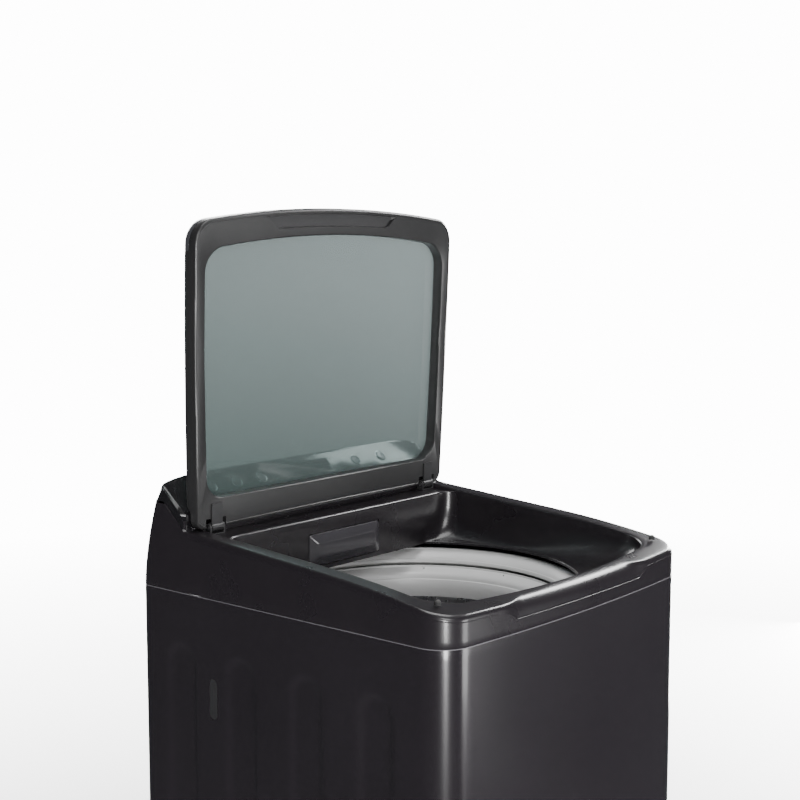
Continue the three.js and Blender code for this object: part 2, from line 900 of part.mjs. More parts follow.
const bandRear = lidLength - lidArch - lidBorderFront + 6;

// Top sheet of the lid, split where the metal-look band begins
function topSheet(band) {
  const inset = lidEdgeWall + gap;
  const low = lidOuter - glassThickness;
  const sheet = solid(prism(lidLoop(inset, -hingeStripLength), low, lidOuter));
  const edge = bowed(
    roundedLoop(width, -bandRear - (band ? gap : 0), 100, 1, 1, { arc: 2, edge: 16, side: 2 }),
    lidRearHalf,
    -bandRear,
    lidArch,
  );
  const rearPart = solid(prism(edge, low - 1, lidOuter + 1));
  const cleared = cut(sheet, trimRoom(gap));
  return band ? cleared.subtract(rearPart) : cleared.intersect(rearPart);
}

part("lid_frame", lidFrame(), looks.frame, lid);
part("lid_glass", topSheet(false), looks.glass, lid);
part("lid_front_band", topSheet(true), looks.satin, lid);
part("lid_trim", trimRoom(0), looks.chrome, lid);

// Steel arm with its knuckle: it turns on the pin and is screwed under the lid
function hingeArm(s) {
  const x0 = s * hingeX - knuckleHalf;
  const x1 = s * hingeX + knuckleHalf;
  const knuckle = solid(rodAlongX(knuckleRadius, x0, x1));
  const strap = solid(block(x0, x1, -armLength, 0, lidUnder - 2.6, lidUnder - gap));
  const bore = solid(rodAlongX(pinRadius + pinClearance, x0 - 1, x1 + 1));
  return cut(join(knuckle, strap), bore);
}

// Bracket on the deck with an ear each side of the knuckle
function hingeBracket(s) {
  const base = coverBottom + deckHeight + gap - axisZ;
  const inner = knuckleHalf + 1;
  const outer = inner + earThickness;
  const x = s * hingeX;
  const ear = (x0, x1) =>
    join(
      solid(rodAlongX(pinRadius + 2.6, x0, x1)),
      solid(block(x0, x1, -pinRadius - 2.6, pinRadius + 2.6, base, 0)),
    );
  const foot = solid(block(x - outer, x + outer, -pinRadius - 2.6, pinRadius + 7, base, base + 1.6));
  const ears = join(ear(x - outer, x - inner), ear(x + inner, x + outer));
  const bore = solid(rodAlongX(pinRadius + gap, x - outer - 1, x + outer + 1));
  return cut(join(foot, ears), bore);
}

sides.forEach(([place, s]) => {
  part("hinge_arm_" + place, hingeArm(s), looks.zinc, lid);
  const bracket = part("hinge_bracket_" + place, hingeBracket(s), looks.zinc);
  bracket.position.set(0, hingeY, axisZ);
  const reach = knuckleHalf + 1 + earThickness + 0.8;
  const pinRod = rodAlongX(pinRadius, s * hingeX - reach, s * hingeX + reach);
  const pin = part("hinge_pin_" + place, pinRod, looks.steel);
  pin.position.set(0, hingeY, axisZ);
});

// Soft pads that the lid's front corners come down on
const bumperX = halfWidth - 28;
const bumperY = -depth / 2 + 49;
const bumperRadius = 4.5;

sides.forEach(([place, s]) => {
  const base = coverBottom + rimAt(bumperY) + 2.2;
  const top = axisZ - rimSlope * (hingeY - bumperY) - axisRaise - 0.6;
  const profile = [
    [0, base],
    [bumperRadius, base],
    [bumperRadius - 0.8, top - 1],
    [bumperRadius - 2, top],
    [0, top],
  ];
  const mesh = part("lid_bumper_" + place, turned(profile, 20), looks.rubber);
  mesh.position.set(s * bumperX, bumperY, 0);
});

const lockTop = coverBottom + deckHeight - coverWall - gap;
const lock = block(hingeX - 45, hingeX - 15, deckFront + 8, deckFront + 31, lockTop - 18, lockTop);
part("lid_lock", lock, looks.plastic);

// ---- tub, basket and rings

function outerTub() {
  const w = tubWall;
  const r = tubRadius;
  const profile = [
    [hubHole, tubBottom],
    [r - 20, tubBottom],
    [r, tubBottom + 20],
    [r, tubTop],
    [r - w, tubTop],
    [r - w, tubBottom + 21.5],
    [r - 21.5, tubBottom + w],
    [hubHole, tubBottom + w],
    [hubHole, tubBottom],
  ];
  const shell = solid(turned(profile));
  const lugs = corners.map(([, sx, sy]) => {
    const turnBy = Math.atan2(sy, sx);
    const arm = block(r - 1.5, rodReach * Math.SQRT2 + 14, -20, 20, lugBottom, lugBottom + lugThickness);
    arm.rotateZ(turnBy);
    const bore = disc(rodRadius + 2, lugBottom - 1, lugBottom + lugThickness + 1, 16);
    bore.translate(sx * rodReach, sy * rodReach, 0);
    return solid(arm).subtract(solid(bore));
  });
  return join(shell, ...lugs);
}

part("outer_tub", outerTub(), looks.pale, tubAxis);

function tubRing() {
  const skirt = tubRadius + gap;
  const lip = balanceTop + 4;
  const profile = [
    [ringInner, lip],
    [ringInner + 2, lip],
    [ringCrest, tubTop + gap],
    [skirt, tubTop + gap],
    [skirt, tubTop - 12],
    [skirt + 2.4, tubTop - 12],
    [skirt + 2.4, ringTop - 10],
    [ringCrest + 8, ringTop - 2],
    [ringCrest, ringTop],
    [ringCrest - 10, ringTop - 5],
    [ringInner, lip + 4],
    [ringInner, lip],
  ];
  return turned(profile);
}

part("tub_ring", tubRing(), looks.ring, tubAxis);

const basketTop = balanceTop - balanceHeight - gap;

function basket() {
  const w = basketWall;
  const r = basketRadius;
  const profile = [
    [tubeOuter + gap, basketBottom],
    [r - 16, basketBottom],
    [r, basketBottom + 16],
    [r, basketTop],
    [r - w, basketTop],
    [r - w, basketBottom + 16.4],
    [r - 16.4, basketBottom + w],
    [tubeOuter + gap, basketBottom + w],
    [tubeOuter + gap, basketBottom],
  ];
  return turned(profile);
}

part("basket", basket(), looks.steel, tubAxis);

function balanceRing() {
  const low = balanceTop - balanceHeight;
  const outer = basketRadius + 1.5;
  const profile = [
    [balanceInner + 2, low],
    [outer, low],
    [outer, balanceTop - 8],
    [outer - 5, balanceTop - 1.5],
    [outer - 14, balanceTop],
    [balanceInner + 12, balanceTop - 6],
    [balanceInner + 4, balanceTop - 16],
    [balanceInner, balanceTop - 30],
    [balanceInner + 2, low],
  ];
  return turned(profile);
}

part("balance_ring", balanceRing(), looks.ring, tubAxis);

// Lint filter: a shallow frame on the basket wall, open at the front
const filterHalf = 42;
const filterEdge = 5;
const filterTop = basketTop - 47;
const filterBottom = filterTop - 130;

function lintFilter() {
  const y0 = basketRadius - 26;
  const y1 = basketRadius - 8;
  const frame = solid(block(-filterHalf, filterHalf, y0, y1, filterBottom, filterTop));
  const inside = filterHalf - filterEdge;
  const low = filterBottom + filterEdge + 1;
  const high = filterTop - filterEdge - 1;
  const room = solid(block(-inside, inside, y0 - 1, y1 - 3, low, high));
  return cut(frame, room);
}

part("lint_filter", lintFilter(), looks.pale, tubAxis);

const pulsatorBase = basketBottom + basketWall + 4;

// Dished disc with a raised centre and curved paddles
function pulsator() {
  const z = pulsatorBase;
  const r = pulsatorRadius;
  const profile = [
    [shaftRadius + 0.4, z],
    [r - 14, z],
    [r, z + 6],
    [r - 3, z + 11],
    [r - 40, z + 11],
    [46, z + 20],
    [26, z + 34],
    [shaftRadius + 0.4, z + 36],
    [shaftRadius + 0.4, z],
  ];
  const dish = solid(turned(profile, 32));
  const paddles = [0, 1, 2, 3, 4, 5].map((i) => {
    const section = [
      [-11, z + 4],
      [11, z + 4],
      [4, z + 27],
      [-4, z + 27],
    ];
    const blade = alongX(section, 34, r - 12);
    return solid(blade.rotateZ((i * Math.PI) / 3));
  });
  return join(dish, ...paddles);
}

part("pulsator", pulsator(), looks.pale, tubAxis);

const gearTop = plateTop - plateThickness - gap;
const gearBottom = pulleyTop + pulleyHub + 4;
part("drive_shaft", disc(shaftRadius, gearTop + 1, pulsatorBase + 34, 24), looks.steel, tubAxis);

// Spin tube: carries the basket on a flange and turns round the inner shaft
function spinTube() {
  const profile = [
    [shaftRadius + 2, gearTop + 1],
    [tubeOuter - 4, gearTop + 1],
    [tubeOuter - 4, basketBottom - 6],
    [tubeOuter + 34, basketBottom - 6],
    [tubeOuter + 34, basketBottom - gap],
    [tubeOuter, basketBottom - gap],
    [tubeOuter, basketBottom + 3],
    [shaftRadius + 2, basketBottom + 3],
    [shaftRadius + 2, gearTop + 1],
  ];
  return turned(profile, 20);
}

part("spin_tube", spinTube(), looks.zinc, tubAxis);

// ---- drive

// Outline round two circles of one radius step each, as a belt lies on two pulleys
function beltLoop(offset) {
  const angle = Math.atan2(motorY - tubY, motorX);
  const big = bigPulleyRadius + offset;
  const small = smallPulleyRadius + offset;
  const lean = Math.acos((big - small) / tubDistance);
  const points = [];
  const steps = 22;
  for (let i = 0; i <= steps; i++) {
    const a = angle + lean + ((2 * Math.PI - 2 * lean) * i) / steps;
    points.push([big * Math.cos(a), big * Math.sin(a)]);
  }
  for (let i = 0; i <= steps / 2; i++) {
    const a = angle - lean + (2 * lean * i) / (steps / 2);
    points.push([motorX + small * Math.cos(a), motorY - tubY + small * Math.sin(a)]);
  }
  return points;
}

function pulley(radius, boreRadius, hubRadius) {
  const z = pulleyBottom;
  const top = pulleyTop;
  const lip = radius + 4;
  const profile = [
    [boreRadius, z],
    [lip, z],
    [lip, z + 1.5],
    [radius, z + 2.5],
    [radius, top - 2.5],
    [lip, top - 1.5],
    [lip, top],
    [hubRadius, top],
    [hubRadius, top + pulleyHub],
    [boreRadius, top + pulleyHub],
  ];
  return turned(boreRadius > 0 ? [...profile, [boreRadius, z]] : profile, radius > 50 ? 32 : 16);
}

const plateReach = Math.round(plateShare * tubRadius);

function tubFrame() {
  const low = plateTop - plateThickness;
  const plate = solid(disc(plateReach, low, plateTop, 40));
  const turnBy = Math.atan2(motorY - tubY, motorX);
  const arm = block(0, tubDistance + motorRadius + 6, -motorRadius - 6, motorRadius + 6, low, plateTop);
  const bore = solid(disc(tubeOuter + 4, low - 1, plateTop + 1, 32));
  return cut(join(plate, solid(arm.rotateZ(turnBy))), bore);
}

part("tub_frame", tubFrame(), looks.zinc, tubAxis);

// Clutch and planetary gear housing, hung under the plate
function gearCase() {
  const r = gearCaseRadius;
  const profile = [
    [0, gearBottom],
    [r * 0.5, gearBottom],
    [r * 0.62, gearBottom + 14],
    [r, gearBottom + 26],
    [r, gearTop - 12],
    [r + 12, gearTop - 8],
    [r + 12, gearTop],
    [0, gearTop],
  ];
  return turned(profile, 20);
}

part("gear_case", gearCase(), looks.zinc, tubAxis);
part("large_pulley", pulley(bigPulleyRadius, 0, 18), looks.zinc, tubAxis);

const beltLow = pulleyBottom + 3.5;
const beltHigh = pulleyTop - 3.5;
const beltInside = solid(prism(beltLoop(0.6), beltLow - 1, beltHigh + 1));
const beltOutside = solid(prism(beltLoop(0.6 + beltThickness), beltLow, beltHigh));
part("drive_belt", beltOutside.subtract(beltInside), looks.rubber, tubAxis);

// Motor can with its end shield
function motor() {
  const r = motorRadius;
  const low = motorTop - motorHeight;
  const profile = [
    [0, low],
    [r * 0.55, low],
    [r * 0.6, low + 8],
    [r * 0.92, low + 14],
    [r, low + 24],
    [r, motorTop - 12],
    [r * 0.9, motorTop],
    [0, motorTop],
  ];
  return turned(profile, 20);
}

const motorMesh = part("motor", motor(), looks.copper, tubAxis);
motorMesh.position.set(motorX, motorY - tubY, 0);
const smallPulley = part("motor_pulley", pulley(smallPulleyRadius, 0, 8), looks.steel, tubAxis);
smallPulley.position.set(motorX, motorY - tubY, 0);

// Drain valve under the tub
const valveX = 142;
const valveY = -132;
const valveBody = join(
  solid(disc(26, tubBottom - 62, tubBottom - gap, 20)),
  solid(block(0, 74, -15, 15, tubBottom - 50, tubBottom - 20)),
);
const valve = part("drain_valve", valveBody, looks.plastic, tubAxis);
valve.position.set(valveX, valveY, 0);

// ---- suspension

const springBottom = lugBottom - gap - springLength;

// Steel wire wound into a spring round the rod
function springCoil() {
  class Helix extends THREE.Curve {
    getPoint(t, target = new THREE.Vector3()) {
      const a = 2 * Math.PI * springTurns * t;
      const z = springBottom + springWire + (springLength - 2 * springWire) * t;
      return target.set(springRadius * Math.cos(a), springRadius * Math.sin(a), z);
    }
  }
  const wire = new THREE.Shape();
  const sidesCount = 4;
  for (let i = 0; i < sidesCount; i++) {
    const a = (2 * Math.PI * i) / sidesCount;
    const method = i ? "lineTo" : "moveTo";
    wire[method](springWire * Math.cos(a), springWire * Math.sin(a));
  }
  wire.closePath();
  const options = { steps: springTurns * 7, extrudePath: new Helix(), bevelEnabled: false };
  return new THREE.ExtrudeGeometry(wire, options);
}

const rodProfile = [
  [0, springBottom - 9],
  [springRadius + 3, springBottom - 9],
  [springRadius + 3, springBottom - gap - 0.6],
  [rodRadius, springBottom - gap],
  [rodRadius, gussetTop + gap],
  [7, gussetTop + gap],
  [7.5, gussetTop + 4],
  [4, gussetTop + 8],
  [0, gussetTop + 9],
];

corners.forEach(([place, sx, sy]) => {
  const rod = part("suspension_rod_" + place, turned(rodProfile, 12), looks.steel, tubAxis);
  rod.position.set(sx * rodReach, sy * rodReach, 0);
  const spring = part("suspension_spring_" + place, springCoil(), looks.steel, tubAxis);
  spring.position.set(sx * rodReach, sy * rodReach, 0);
});

// ---- water and power connections

const portRadius = 13;

// Inlet valve: a square flange that fills half of the opening, a body and a threaded port
function inletValve(x) {
  const half = inletHalf / 2 - gap;
  const mid = coverBottom + (inletBottom + inletTop) / 2;
  const face = backAt((inletBottom + inletTop) / 2) - 16;
  const halfHeight = (inletTop - inletBottom) / 2 - gap;
  const flange = block(x - half, x + half, face - 4, face, mid - halfHeight, mid + halfHeight);
  const body = block(x - 16, x + 16, face - 26, face - 3, mid - 15, mid + 15);
  const port = new THREE.CylinderGeometry(portRadius, portRadius, rearY - 1 - face + 2, 20);
  port.translate(0, (rearY - 1 + face - 2) / 2, 0);
  const bore = new THREE.CylinderGeometry(portRadius - 4, portRadius - 4, 20, 20);
  bore.translate(0, rearY, 0);
  const ported = solid(port.translate(x, 0, mid)).subtract(solid(bore.translate(x, 0, mid)));
  return join(solid(flange), solid(body), ported);
}

part("inlet_valve_cold", inletValve(inletX + inletHalf / 2), looks.pale);
part("inlet_valve_hot", inletValve(inletX - inletHalf / 2), looks.pale);

// Flanged bush where a supply cord would pass
function cordGland() {
  const back = backAt(glandZ);
  const bush = new THREE.CylinderGeometry(glandRadius, glandRadius, 14, 16);
  const flange = new THREE.CylinderGeometry(glandRadius + 3, glandRadius + 3, 2.5, 16);
  bush.translate(0, back - 3, 0);
  flange.translate(0, back + 3.8, 0);
  const bore = new THREE.CylinderGeometry(3.6, 3.6, 60, 12).translate(0, back, 0);
  const gland = join(solid(bush), solid(flange)).subtract(solid(bore));
  return gland.translate([glandX, 0, coverBottom + glandZ]);
}

part("cord_gland", cordGland(), looks.rubber);

// Plate with the drain pipe stub, in the notch low on the back
function drainOutlet() {
  const { x, halfWidth: half, top } = drainNotch;
  const y = rearY - cabinetWall - 18;
  const low = baseBottom + baseWall + gap;
  const plate = block(x - half + 4, x + half - 4, y - 4, y, low, top - 6);
  const z = (low + top) / 2 + 4;
  const pipe = new THREE.CylinderGeometry(14, 14, rearY - 1 - y + 30, 20);
  pipe.translate(0, (rearY - 1 + y - 30) / 2, 0);
  const bore = new THREE.CylinderGeometry(11, 11, 200, 20);
  return cut(
    join(solid(plate), solid(pipe.translate(x, 0, z))),
    solid(bore.translate(x, rearY, z)),
  );
}

part("drain_outlet", drainOutlet(), looks.plastic);

// Water level switch in the ridge
const level = part("pressure_switch", disc(20, 0, 16, 20), looks.pale);
level.position.set(120, rearY - 39, coverBottom + 14);

export default root;
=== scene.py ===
# Top load washing machine: the finished look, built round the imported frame.
import json
import math

import bmesh
import bpy
from mathutils import Matrix, Vector


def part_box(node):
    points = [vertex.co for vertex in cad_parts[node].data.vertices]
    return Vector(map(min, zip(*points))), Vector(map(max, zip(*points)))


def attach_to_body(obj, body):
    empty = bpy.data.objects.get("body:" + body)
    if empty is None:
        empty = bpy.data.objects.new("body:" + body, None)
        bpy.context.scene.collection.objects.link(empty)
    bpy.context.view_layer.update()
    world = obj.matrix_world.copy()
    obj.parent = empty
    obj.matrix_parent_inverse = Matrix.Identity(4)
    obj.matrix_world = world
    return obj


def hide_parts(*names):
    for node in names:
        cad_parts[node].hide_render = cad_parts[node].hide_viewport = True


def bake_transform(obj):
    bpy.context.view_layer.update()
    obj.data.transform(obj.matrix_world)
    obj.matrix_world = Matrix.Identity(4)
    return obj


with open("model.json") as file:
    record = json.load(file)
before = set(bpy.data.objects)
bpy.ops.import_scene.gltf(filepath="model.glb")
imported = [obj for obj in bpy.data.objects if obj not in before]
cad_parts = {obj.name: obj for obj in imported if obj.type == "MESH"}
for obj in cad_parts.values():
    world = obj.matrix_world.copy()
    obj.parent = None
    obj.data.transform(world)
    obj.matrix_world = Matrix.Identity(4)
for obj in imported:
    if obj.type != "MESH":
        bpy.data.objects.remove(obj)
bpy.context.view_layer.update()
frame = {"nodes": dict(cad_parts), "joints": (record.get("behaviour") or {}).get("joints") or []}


mm = 0.001  # lengths below are in millimetres and become metres when a mesh is made
joints = {joint["name"]: joint for joint in frame["joints"]}
corners = {"front_left": (-1, -1), "front_right": (1, -1), "rear_left": (-1, 1), "rear_right": (1, 1)}


def lowOf(node):
    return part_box(node)[0] / mm


def highOf(node):
    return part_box(node)[1] / mm


halfWidth = highOf("cabinet_shell").x
rearY = highOf("cabinet_shell").y
seam = highOf("cabinet_shell").z
coverBase = lowOf("top_cover").z
hingeY = joints["lid_hinge"]["pos_m"][1] / mm
hingeZ = joints["lid_hinge"]["pos_m"][2] / mm
tubY = (lowOf("outer_tub").y + highOf("outer_tub").y) / 2
print("frame loaded:", len(frame["nodes"]), "nodes")


# small helpers for numbers

def clamp(value, low=0.0, high=1.0):
    return max(low, min(high, value))


def between(a, b, share):
    return a + (b - a) * share


def smooth(low, high, value):
    share = clamp((value - low) / (high - low))
    return share * share * (3 - 2 * share)


def spread(a, b, count):
    return [between(a, b, i / count) for i in range(count + 1)]


# helpers for meshes

def circle(radius, count, x=0.0, y=0.0, z=0.0):
    turns = [2 * math.pi * i / count for i in range(count)]
    return [(x + radius * math.cos(a), y + radius * math.sin(a), z) for a in turns]


def gridFaces(rows, cols, wrapRows=False, wrapCols=False, start=0):
    faces = []
    for r in range(rows if wrapRows else rows - 1):
        for c in range(cols if wrapCols else cols - 1):
            below, above = start + r * cols, start + ((r + 1) % rows) * cols
            after = (c + 1) % cols
            faces.append((below + c, below + after, above + after, above + c))
    return faces


# Points and faces that grow patch by patch before they become one mesh
class Shape:
    def __init__(self):
        self.points, self.faces, self.marks = [], [], []

    def grid(self, rows, wrapRows=False, wrapCols=False, keep=None, mark=0):
        start = len(self.points)
        for row in rows:
            self.points.extend(row)
        for face in gridFaces(len(rows), len(rows[0]), wrapRows, wrapCols, start):
            middle = [sum(self.points[i][k] for i in face) / 4 for k in range(3)]
            if keep is None or keep(middle):
                self.faces.append(face)
                self.marks.append(mark)
        return self

    def cap(self, loop):
        start = len(self.points)
        self.points.extend(loop)
        self.faces.append(tuple(range(start, start + len(loop))))
        self.marks.append(0)
        return self

    def block(self, low, high):
        (x0, y0, z0), (x1, y1, z1) = low, high
        start = len(self.points)
        self.points.extend((x, y, z) for z in (z0, z1) for y in (y0, y1) for x in (x0, x1))
        sides = ((0, 2, 3, 1), (4, 5, 7, 6), (0, 1, 5, 4), (2, 6, 7, 3), (0, 4, 6, 2), (1, 3, 7, 5))
        for face in sides:
            self.faces.append(tuple(start + i for i in face))
            self.marks.append(0)
        return self

    # A profile of [radius, height] turned round the vertical line through (x, y)
    def turned(self, profile, segments=64, x=0.0, y=0.0, closed=False):
        rows = [circle(r, segments, x, y, z) for r, z in profile]
        return self.grid(rows, wrapRows=closed, wrapCols=True)


mergeGap = 0.00001  # metres; points closer than this become one
shortestEdge = 0.000005


def makePiece(name, shape, materials, place=None, edgeAngle=38, outward=True):
    mesh = bpy.data.meshes.new(name)
    mesh.from_pydata([(x * mm, y * mm, z * mm) for x, y, z in shape.points], [], shape.faces)
    for polygon, mark in zip(mesh.polygons, shape.marks):
        polygon.material_index = mark
    work = bmesh.new()
    work.from_mesh(mesh)
    bmesh.ops.remove_doubles(work, verts=work.verts, dist=mergeGap)
    bmesh.ops.dissolve_degenerate(work, edges=work.edges, dist=shortestEdge)
    loose = [v for v in work.verts if not v.link_faces]
    bmesh.ops.delete(work, geom=loose, context="VERTS")
    if outward:
        bmesh.ops.recalc_face_normals(work, faces=work.faces)
    work.to_mesh(mesh)
    work.free()
    if place is not None:
        mesh.transform(place)
    piece = bpy.data.objects.new(name, mesh)
    bpy.context.scene.collection.objects.link(piece)
    for material in materials if isinstance(materials, list) else [materials]:
        mesh.materials.append(material)
    softenEdges(piece, edgeAngle)
    return piece


# Body that a piece moves with and the frame's node that it stands in for
def attach(piece, body, node=None):
    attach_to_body(piece, body)
    if node:
        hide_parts(node)


def softenEdges(piece, edgeAngle):
    piece.data.polygons.foreach_set("use_smooth", [True] * len(piece.data.polygons))
    piece.data.set_sharp_from_angle(angle=math.radians(edgeAngle))


def applyModifiers(piece):
    bpy.context.view_layer.update()
    graph = bpy.context.evaluated_depsgraph_get()
    mesh = bpy.data.meshes.new_from_object(piece.evaluated_get(graph))
    piece.modifiers.clear()
    piece.data = mesh


# Gives a sheet its thickness, behind it or, with offset 0, to both sides
def thicken(piece, thickness, edgeAngle, offset=-1):
    wall = piece.modifiers.new("wall", "SOLIDIFY")
    wall.thickness = thickness * mm
    wall.offset = offset
    applyModifiers(piece)
    softenEdges(piece, edgeAngle)


def cutAway(piece, tool, edgeAngle=38):
    toolPiece = makePiece("cutter", tool, [])
    boolean = piece.modifiers.new("cut", "BOOLEAN")
    boolean.operation = "DIFFERENCE"
    boolean.solver = "EXACT"
    boolean.object = toolPiece
    applyModifiers(piece)
    bpy.data.objects.remove(toolPiece)
    softenEdges(piece, edgeAngle)


# Turns a sheet over when one of its faces looks away from a direction
def faceTowards(piece, direction, index=0):
    if piece.data.polygons[index].normal.dot(Vector(direction)) < 0:
        piece.data.flip_normals()


# Rounds the corners of a closed section. Each bend is (a, b, radius)
def roundedSection(bends, steps):
    points = []
    for i, (a, b, radius) in enumerate(bends):
        here = Vector((a, b))
        before = Vector(bends[i - 1][:2]) - here
        after = Vector(bends[(i + 1) % len(bends)][:2]) - here
        if radius <= 0:
            points.append((a, b))
            continue
        turn = before.angle(after) / 2
        reach = min(radius / math.tan(turn), before.length * 0.49, after.length * 0.49)
        start, end = here + before.normalized() * reach, here + after.normalized() * reach
        for k in range(steps + 1):
            t = k / steps
            points.append(tuple(start * (1 - t) ** 2 + here * (2 * t * (1 - t)) + end * t * t))
    return points


# Outline of a rounded box seen from above, anticlockwise from the middle of its front edge
def roundedLoop(half, front, rear, frontRadius, rearRadius, arcSteps, edgeSteps, sideSteps):
    points = []

    def line(x0, y0, x1, y1, n):
        points.extend((between(x0, x1, i / n), between(y0, y1, i / n)) for i in range(n))

    def arc(cx, cy, radius, start):
        for i in range(arcSteps):
            a = start + math.pi / 2 * i / arcSteps
            points.append((cx + radius * math.cos(a), cy + radius * math.sin(a)))

    line(0, front, half - frontRadius, front, edgeSteps)
    arc(half - frontRadius, front + frontRadius, frontRadius, -math.pi / 2)
    line(half, front + frontRadius, half, rear - rearRadius, sideSteps)
    arc(half - rearRadius, rear - rearRadius, rearRadius, 0)
    line(half - rearRadius, rear, -half + rearRadius, rear, edgeSteps * 2)
    arc(-half + rearRadius, rear - rearRadius, rearRadius, math.pi / 2)
    line(-half, rear - rearRadius, -half, front + frontRadius, sideSteps)
    arc(-half + frontRadius, front + frontRadius, frontRadius, math.pi)
    line(-half + frontRadius, front, 0, front, edgeSteps)
    return points


def bowed(point, half, front, bow):
    x, y = point
    return (x, y - bow * (1 - (x / half) ** 2) * clamp(y / front) ** 3)


# effects that several materials share, as node groups

def newGroup(name, inputs, outputs):
    group = bpy.data.node_groups.new(name, "ShaderNodeTree")
    for label, value in inputs.items():
        socket = group.interface.new_socket(label, in_out="INPUT", socket_type="NodeSocketFloat")
        socket.default_value = value
    for label in outputs:
        group.interface.new_socket(label, in_out="OUTPUT", socket_type="NodeSocketFloat")
    start, end = group.nodes.new("NodeGroupInput"), group.nodes.new("NodeGroupOutput")
    return group, start.outputs, end.inputs


def addNode(tree, kind, **settings):
    node = tree.nodes.new(kind)
    for key, value in settings.items():
        if key in node.inputs.keys():
            node.inputs[key].default_value = value
        else:
            setattr(node, key, value)
    return node


def mathNode(tree, operation, first, second=None, third=None, limit=False):
    node = tree.nodes.new("ShaderNodeMath")
    node.operation = operation
    node.use_clamp = limit
    for i, value in enumerate((first, second, third)):
        if value is None:
            continue
        if isinstance(value, (int, float)):
            node.inputs[i].default_value = value
        else:
            tree.links.new(value, node.inputs[i])
    return node.outputs[0]


def mapped(tree, value, fromLow, fromHigh, toLow, toHigh):
    node = tree.nodes.new("ShaderNodeMapRange")
    tree.links.new(value, node.inputs["Value"])
    ends = {"From Min": fromLow, "From Max": fromHigh, "To Min": toLow, "To Max": toHigh}
    for label, number in ends.items():
        node.inputs[label].default_value = number
    return node.outputs["Result"]


def noiseOf(tree, vector, scale, detail=3.0, rough=0.55):
    node = addNode(tree, "ShaderNodeTexNoise", Detail=detail, Roughness=rough)
    tree.links.new(vector, node.inputs["Vector"])
    if isinstance(scale, (int, float)):
        node.inputs["Scale"].default_value = scale
    else:
        tree.links.new(scale, node.inputs["Scale"])
    return node.outputs["Fac"]


def objectPlace(tree):
    return tree.nodes.new("ShaderNodeTexCoord").outputs["Object"]


def stretched(tree, vector, scale):
    node = addNode(tree, "ShaderNodeMapping")
    node.inputs["Scale"].default_value = scale
    tree.links.new(vector, node.inputs["Vector"])
    return node.outputs["Vector"]


# Fine moulded texture of plastic, with slow cloudiness over the whole part
def makeMouldedGrain():
    sizes = {"Grain Size": 1400.0, "Cloud Size": 7.0}
    group, given, made = newGroup("mouldedGrain", sizes, ["Height", "Cloud"])
    place = objectPlace(group)
    fine = noiseOf(group, place, given["Grain Size"], 2.0, 0.6)
    cells = addNode(group, "ShaderNodeTexVoronoi")
    group.links.new(place, cells.inputs["Vector"])
    group.links.new(given["Grain Size"], cells.inputs["Scale"])
    height = mathNode(group, "MULTIPLY_ADD", cells.outputs["Distance"], 0.5, fine)
    group.links.new(height, made["Height"])
    group.links.new(noiseOf(group, place, given["Cloud Size"], 4.0), made["Cloud"])
    return group


# Lines left by brushing, along the object's X axis
def makeBrushedLines():
    outputs = ["Streak", "Height", "Smudge"]
    group, given, made = newGroup("brushedLines", {"Fineness": 900.0}, outputs)
    place = objectPlace(group)
    lines = noiseOf(group, stretched(group, place, (0.012, 1.0, 1.0)), given["Fineness"], 4.0, 0.7)
    group.links.new(lines, made["Streak"])
    group.links.new(lines, made["Height"])
    group.links.new(noiseOf(group, place, 22.0, 5.0, 0.6), made["Smudge"])
    return group


# Slight waviness of sprayed paint and its metal flakes
def makeSprayedPaint():
    sizes = {"Wave Size": 320.0, "Flake Size": 2600.0}
    group, given, made = newGroup("sprayedPaint", sizes, ["Height", "Flake", "Cloud"])
    place = objectPlace(group)
    group.links.new(noiseOf(group, place, given["Wave Size"], 1.0, 0.4), made["Height"])
    cells = addNode(group, "ShaderNodeTexVoronoi")
    group.links.new(place, cells.inputs["Vector"])
    group.links.new(given["Flake Size"], cells.inputs["Scale"])
    tone = addNode(group, "ShaderNodeSeparateColor")
    group.links.new(cells.outputs["Color"], tone.inputs["Color"])
    group.links.new(mapped(group, tone.outputs["Red"], 0.78, 1.0, 0.0, 1.0), made["Flake"])
    group.links.new(noiseOf(group, place, 4.0, 1.5), made["Cloud"])
    return group


# Dust that settles on faces that look up, in soft patches
def makeSettledDust():
    inputs = {"Amount": 0.3, "Patch Size": 16.0}
    group, given, made = newGroup("settledDust", inputs, ["Dust"])
    place = objectPlace(group)
    patches = noiseOf(group, place, given["Patch Size"], 6.0, 0.65)
    facing = addNode(group, "ShaderNodeSeparateXYZ")
    surface = group.nodes.new("ShaderNodeNewGeometry")
    group.links.new(surface.outputs["Normal"], facing.inputs["Vector"])
    upward = mapped(group, facing.outputs["Z"], 0.3, 1.0, 0.0, 1.0)
    thick = mathNode(group, "MULTIPLY", upward, mapped(group, patches, 0.35, 0.75, 0.2, 1.0))
    group.links.new(mathNode(group, "MULTIPLY", thick, given["Amount"], limit=True), made["Dust"])
    return group


# Crystal pattern of zinc coating
def makeZincSpangle():
    outputs = ["Tone", "Height", "Stain"]
    group, given, made = newGroup("zincSpangle", {"Crystal Size": 90.0}, outputs)
    place = objectPlace(group)
    cells = addNode(group, "ShaderNodeTexVoronoi")
    group.links.new(place, cells.inputs["Vector"])
    group.links.new(given["Crystal Size"], cells.inputs["Scale"])
    tone = addNode(group, "ShaderNodeSeparateColor")
    group.links.new(cells.outputs["Color"], tone.inputs["Color"])
    group.links.new(tone.outputs["Green"], made["Tone"])
    group.links.new(noiseOf(group, place, 500.0, 3.0), made["Height"])
    group.links.new(noiseOf(group, place, 9.0, 6.0, 0.6), made["Stain"])
    return group


